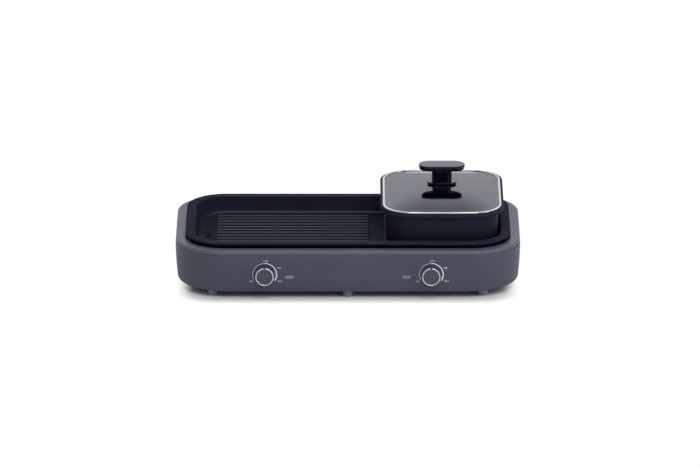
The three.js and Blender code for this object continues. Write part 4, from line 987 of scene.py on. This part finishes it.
def lettering(words, x, y):
    """Flat capitals centred on a place in the dial's plane."""
    text = bpy.data.curves.new("words", "FONT")
    text.body = words
    text.size = LETTER_SIZE
    text.align_x = "CENTER"
    text.align_y = "CENTER"
    text.resolution_u = 3
    bm = from_curve(text)
    bmesh.ops.remove_doubles(bm, verts=bm.verts, dist=0.001)
    return moved(bm, shift(x, y))


def make_scale(side, label):
    """The printed scale: a thin arc up to the top, a growing one down from it, and four words."""
    low_arc, high_arc = arc_band(19.3, 206, 92, 0.8, 1.0), arc_band(19.4, 90, -32, 1.3, 2.0)
    words = (("OFF", -21.9, -11.7), ("LOW", 1.5, 23.2), ("MED", 23.4, 11.6), ("MAX", 24.7, -11.5))
    letters = gathered([lettering(*word) for word in words])
    for part, bm, ink in (
        ("low", low_arc, grey_ink), ("high", high_arc, white_ink), ("words", letters, white_ink),
    ):
        keep(f"{label}_scale_{part}", on_panel(bm, side * DIAL_X, DIAL_Z), ink, "base", None)


# ---- Inlet, oil drawer, heat shield and heating tubes ----

def make_inlet():
    """The inlet's body, hollow in front, with a flange behind the wall and bores for the pins."""
    mouth, floor, flange, back = -1.4, -18.25, -6.3, -22
    section = rounded_section([
        (12, back, 0), (0, back, 0.5), (0, flange - 2, 0), (-3.5, flange - 2, 0.4), (-3.5, flange, 0.4),
        (0, flange, 0), (0, mouth, 0.5), (2.5, mouth, 0.6), (2.5, floor, 0.6), (12, floor, 0),
    ], 3)
    tiers = []
    for x, z in section:
        inset = min(x, INLET_TALL / 2 - 1)
        corner = max(0.8, 3 - inset * 0.6)
        tiers.append(outline(INLET_WIDE - 2 * inset, INLET_TALL - 2 * inset, corner, z, 6))
    pins = bores(3.8, -30, -10, [(-6, 3), (6, 3), (0, -3.2)])
    inlet = combined(stacked(tiers), cut=[gathered(pins)])
    place = shift(0, CASE_DEPTH / 2, INLET_Z) @ rotation(math.pi) @ rotation(QUARTER, "X")
    keep("mains_inlet", moved(inlet, place), black_cover, "base", "black_plastic", "power_inlet")


def make_drawer():
    """A front that is a piece of the case wall, a cup behind it and a scoop for a finger."""
    front_deep, cup_deep, overlap = 18, 76, 2
    end = -CASE_WIDTH / 2
    middle = end + front_deep / 2 - overlap + cup_deep / 2
    solid = swept(case_wall(), CASE_WIDTH, CASE_DEPTH, case_corner, False)
    front_box = moved(slab(front_deep, DRAWER_WIDE, 1, DRAWER_LOW, DRAWER_HIGH), shift(end, DRAWER_Y))
    front = combined(solid, kept=[front_box])
    cup = moved(slab(cup_deep, 59, 5, DRAWER_LOW, 33), shift(middle, DRAWER_Y))
    hollow = moved(slab(cup_deep - 4, 55, 3, DRAWER_LOW + 2, 40), shift(middle, DRAWER_Y))
    scoop = moved(ellipsoid((5, 15, 6.1), 48), shift(end, DRAWER_Y, (DRAWER_LOW + DRAWER_HIGH) / 2))
    drawer = combined(front, joined=[cup], cut=[hollow, scoop])
    keep("oil_drawer_box", drawer, slate, "oil_drawer", "case_slate", "oil_drawer")


def make_shield():
    """A pressed pan, each tier as (width, depth, corner, height): up its outside and down its inside."""
    tiers = [
        (478, 206, 41, 38.8), (484, 212, 44, 40.2), (486, 214, 45, 42.8),
        (513, 249, 58, 63.4), (515, 251, 59, 64.3), (538, 282, 69, 64.3), (538, 282, 69, 65.5),
        (513, 247, 57, 65.5), (511, 245, 56, 64.6), (483.6, 211.6, 43.6, 44.0), (481, 209, 42, 41.4),
        (476, 204, 40, 40.0),
    ]
    pan = stacked([outline(*tier, 16) for tier in tiers])
    tube_ends = ((GRIDDLE_END_X, -60), (GRIDDLE_END_X, -20), (POT_END_X, -10), (POT_END_X, 10))
    screws = [(side_x * 190.4, side_y * 137) for side_x, side_y in CORNER_SIGNS]
    holes = bores(19, 30, 50, [DRAIN]) + bores(8.6, 30, 50, tube_ends) + bores(3.6, 55, 72, screws)
    shield = combined(pan, cut=[gathered(holes)])
    keep("heat_shield_pan", shield, sheet, "base", "sheet_steel", "heat_shield")


def bent_tube(corners):
    """A round tube through corner points with each corner bent, as a mesh."""
    curve = bpy.data.curves.new("tube", "CURVE")
    curve.dimensions = "3D"
    curve.bevel_depth = TUBE_RADIUS
    curve.bevel_resolution = 4
    curve.use_fill_caps = True
    points = [Vector(corner) for corner in corners]
    stations = [points[0]]
    for before, here, after in zip(points, points[1:], points[2:]):
        back, ahead = before - here, after - here
        reach = min(TUBE_BEND, back.length / 2, ahead.length / 2)
        start, end = here + back.normalized() * reach, here + ahead.normalized() * reach
        for step in range(9):
            share = step / 8
            stations.append(start * (1 - share) ** 2 + here * 2 * share * (1 - share) + end * share ** 2)
    stations.append(points[-1])
    spline = curve.splines.new("POLY")
    spline.points.add(len(stations) - 1)
    for point, place in zip(spline.points, stations):
        point.co = (*place, 1)
    return from_curve(curve)


def make_heaters():
    """Both tubes: each rises through the shield, runs round at one level and goes down again."""
    griddle = [
        (GRIDDLE_END_X, -60), (-195.5, -60), (-195.5, 60), (14, 60),
        (14, 20), (-140.6, 20), (-140.6, -20), (GRIDDLE_END_X, -20),
    ]
    pot = [
        (POT_END_X, -10), (99, -10), (99, -60), (207, -60),
        (207, 60), (99, 60), (99, 10), (POT_END_X, 10),
    ]
    for name, route in (("griddle", griddle), ("pot", pot)):
        level = [(x, y, TUBE_LEVEL) for x, y in route]
        tube = bent_tube([(*route[0], TUBE_END), *level, (*route[-1], TUBE_END)])
        keep(f"{name}_heating_tube", tube, tube_sheath, "base", "sheet_steel", f"{name}_heater")


make_case()
make_rim()
make_feet()
make_tray()
make_pot()
make_lid_ring()
make_glass()
make_lid_knob()
for dial_side, dial_label in ((-1, "left"), (1, "right")):
    make_dial(dial_side, dial_label)
    make_lamp_window(dial_side, dial_label)
    make_scale(dial_side, dial_label)
make_inlet()
make_drawer()
make_shield()
make_heaters()

carried = {
    black_cover: ["bottom_cover"],
    ceramic: ["terminal_block", "left_thermostat", "right_thermostat", "left_lamp", "right_lamp"],
    sheet: [
        "left_griddle_cradle", "right_griddle_cradle", "left_pot_cradle", "right_pot_cradle",
        "lid_washer", "lid_screw",
    ] + [f"{end}_{side}_{kind}_screw" for end in ("front", "rear") for side in ("left", "right")
         for kind in ("cover", "shield")],
    turned_steel: ["left_shaft", "right_shaft"],
    brass: ["live_pin", "neutral_pin", "earth_pin"],
    red_sleeve: [
        "live_wire", "neutral_wire", "left_supply_wire", "right_supply_wire", "griddle_load_wire",
        "pot_load_wire", "griddle_return_wire", "pot_return_wire",
    ],
    green_sleeve: ["earth_wire"],
}
for finish_material, names in carried.items():
    for node_name in names:
        mesh_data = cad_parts[node_name].data
        mesh_data.materials.clear()
        mesh_data.materials.append(finish_material)


# ---- Floor, light and camera, in metres ----

WHITE = (1, 1, 1, 1)
FLOOR_CORE = ((0, 0, 0.217), (1, CASE_SHIFT * MM, 0.112))
FLOOR_FADE = (0.033, 0.064)
FLOOR_SIZE = 9
CAMERA_TARGET = (0.0034, CASE_SHIFT * MM, 0.0636)
CAMERA_LIFT = math.radians(18)
CAMERA_REACH, CAMERA_SPAN = 12.0, 1.1445
SENSOR_WIDTH = 36


def make_floor():
    """A pale floor that keeps the contact shadow and runs out to plain white for the camera.

    The core under the case, as (axis, middle, half size), is plain cloth, and the fade starts and ends at
    these distances from it.
    """
    material = bpy.data.materials.new("pale_studio_floor")
    start = bare_tree(material)
    place = start.node("ShaderNodeTexCoord", output="Object")
    outside = []
    for axis, middle, half in FLOOR_CORE:
        beyond = start.maths("ABSOLUTE", place.component(axis) - middle) - half
        outside.append(start.maths("MAXIMUM", beyond, 0.0))
    across, along = outside
    distance = start.maths("SQRT", across * across + along * along)
    clear = distance.to_range(*FLOOR_FADE, smooth=True)
    seen, through = (
        start.node("ShaderNodeLightPath", output=f"Is {kind} Ray") for kind in ("Camera", "Transmission")
    )
    cloth = start.node("ShaderNodeBsdfDiffuse", inputs={"Color": (0.8, 0.8, 0.82, 1)})
    white = start.node("ShaderNodeEmission", inputs={"Color": WHITE, "Strength": 1.0})
    share = start.maths("MAXIMUM", seen, through) * clear
    mixed = start.node("ShaderNodeMixShader", inputs={0: share, 1: cloth, 2: white})
    start.node("ShaderNodeOutputMaterial", inputs={"Surface": mixed})
    bm = bmesh.new()
    bmesh.ops.create_grid(bm, x_segments=8, y_segments=8, size=FLOOR_SIZE)
    mesh = as_mesh("studio_floor", bm)
    mesh.materials.append(material)
    floor = placed("studio_floor", mesh)


def make_light():
    """A dim room, lighter behind and overhead, that the camera sees as white, and two softboxes."""
    world = bpy.data.worlds.new("studio")
    bpy.context.scene.world = world
    start = bare_tree(world)
    place = start.node("ShaderNodeTexCoord", output="Generated")
    ahead, upward = place.component(1), place.component(2)
    level = (ahead + upward * 0.4).to_range(-0.4, 0.7, 0.42, 1.0, smooth=True)
    level = level * upward.to_range(0.0, 0.45, 0.44, 1.0) * upward.to_range(0.66, 0.8, 1.0, 0.6, smooth=True)
    seen = start.node("ShaderNodeLightPath", output="Is Camera Ray")
    strength = seen + (1 - seen) * level
    colour = seen.blend((0.93, 0.955, 1, 1), WHITE)
    shade = start.node("ShaderNodeBackground", inputs={"Color": colour, "Strength": strength})
    start.node("ShaderNodeOutputWorld", inputs={"Surface": shade})
    lamps = (
        ("key_softbox", (0.25, -1.25, 1.4), (0, 0, 0.05), 1.2, 0.9, 14.5),
        ("side_softbox", (1.6, -0.9, 0.7), (0.1, 0, 0.08), 0.7, 1.0, 5),
    )
    for name, spot, aim, wide, tall, watts in lamps:
        data = bpy.data.lights.new(name, "AREA")
        data.shape = "RECTANGLE"
        data.size, data.size_y = wide, tall
        data.energy = watts
        lamp = placed(name, data)
        lamp.location = spot
        lamp.rotation_euler = (Vector(aim) - Vector(spot)).to_track_quat("-Z", "Y").to_euler()


def make_camera():
    """A long lens, far off and lifted, whose picture spans CAMERA_SPAN at the target."""
    data = bpy.data.cameras.new("photo_camera")
    data.sensor_width = SENSOR_WIDTH
    data.lens = SENSOR_WIDTH * CAMERA_REACH / CAMERA_SPAN
    data.clip_end = 60
    camera = placed("photo_camera", data)
    arm = Vector((0, -math.cos(CAMERA_LIFT), math.sin(CAMERA_LIFT)))
    camera.location = Vector(CAMERA_TARGET) + arm * CAMERA_REACH
    camera.rotation_euler = (QUARTER - CAMERA_LIFT, 0, 0)
    bpy.context.scene.camera = camera


make_floor()
make_light()
make_camera()
bpy.context.scene.view_settings.view_transform = "Standard"
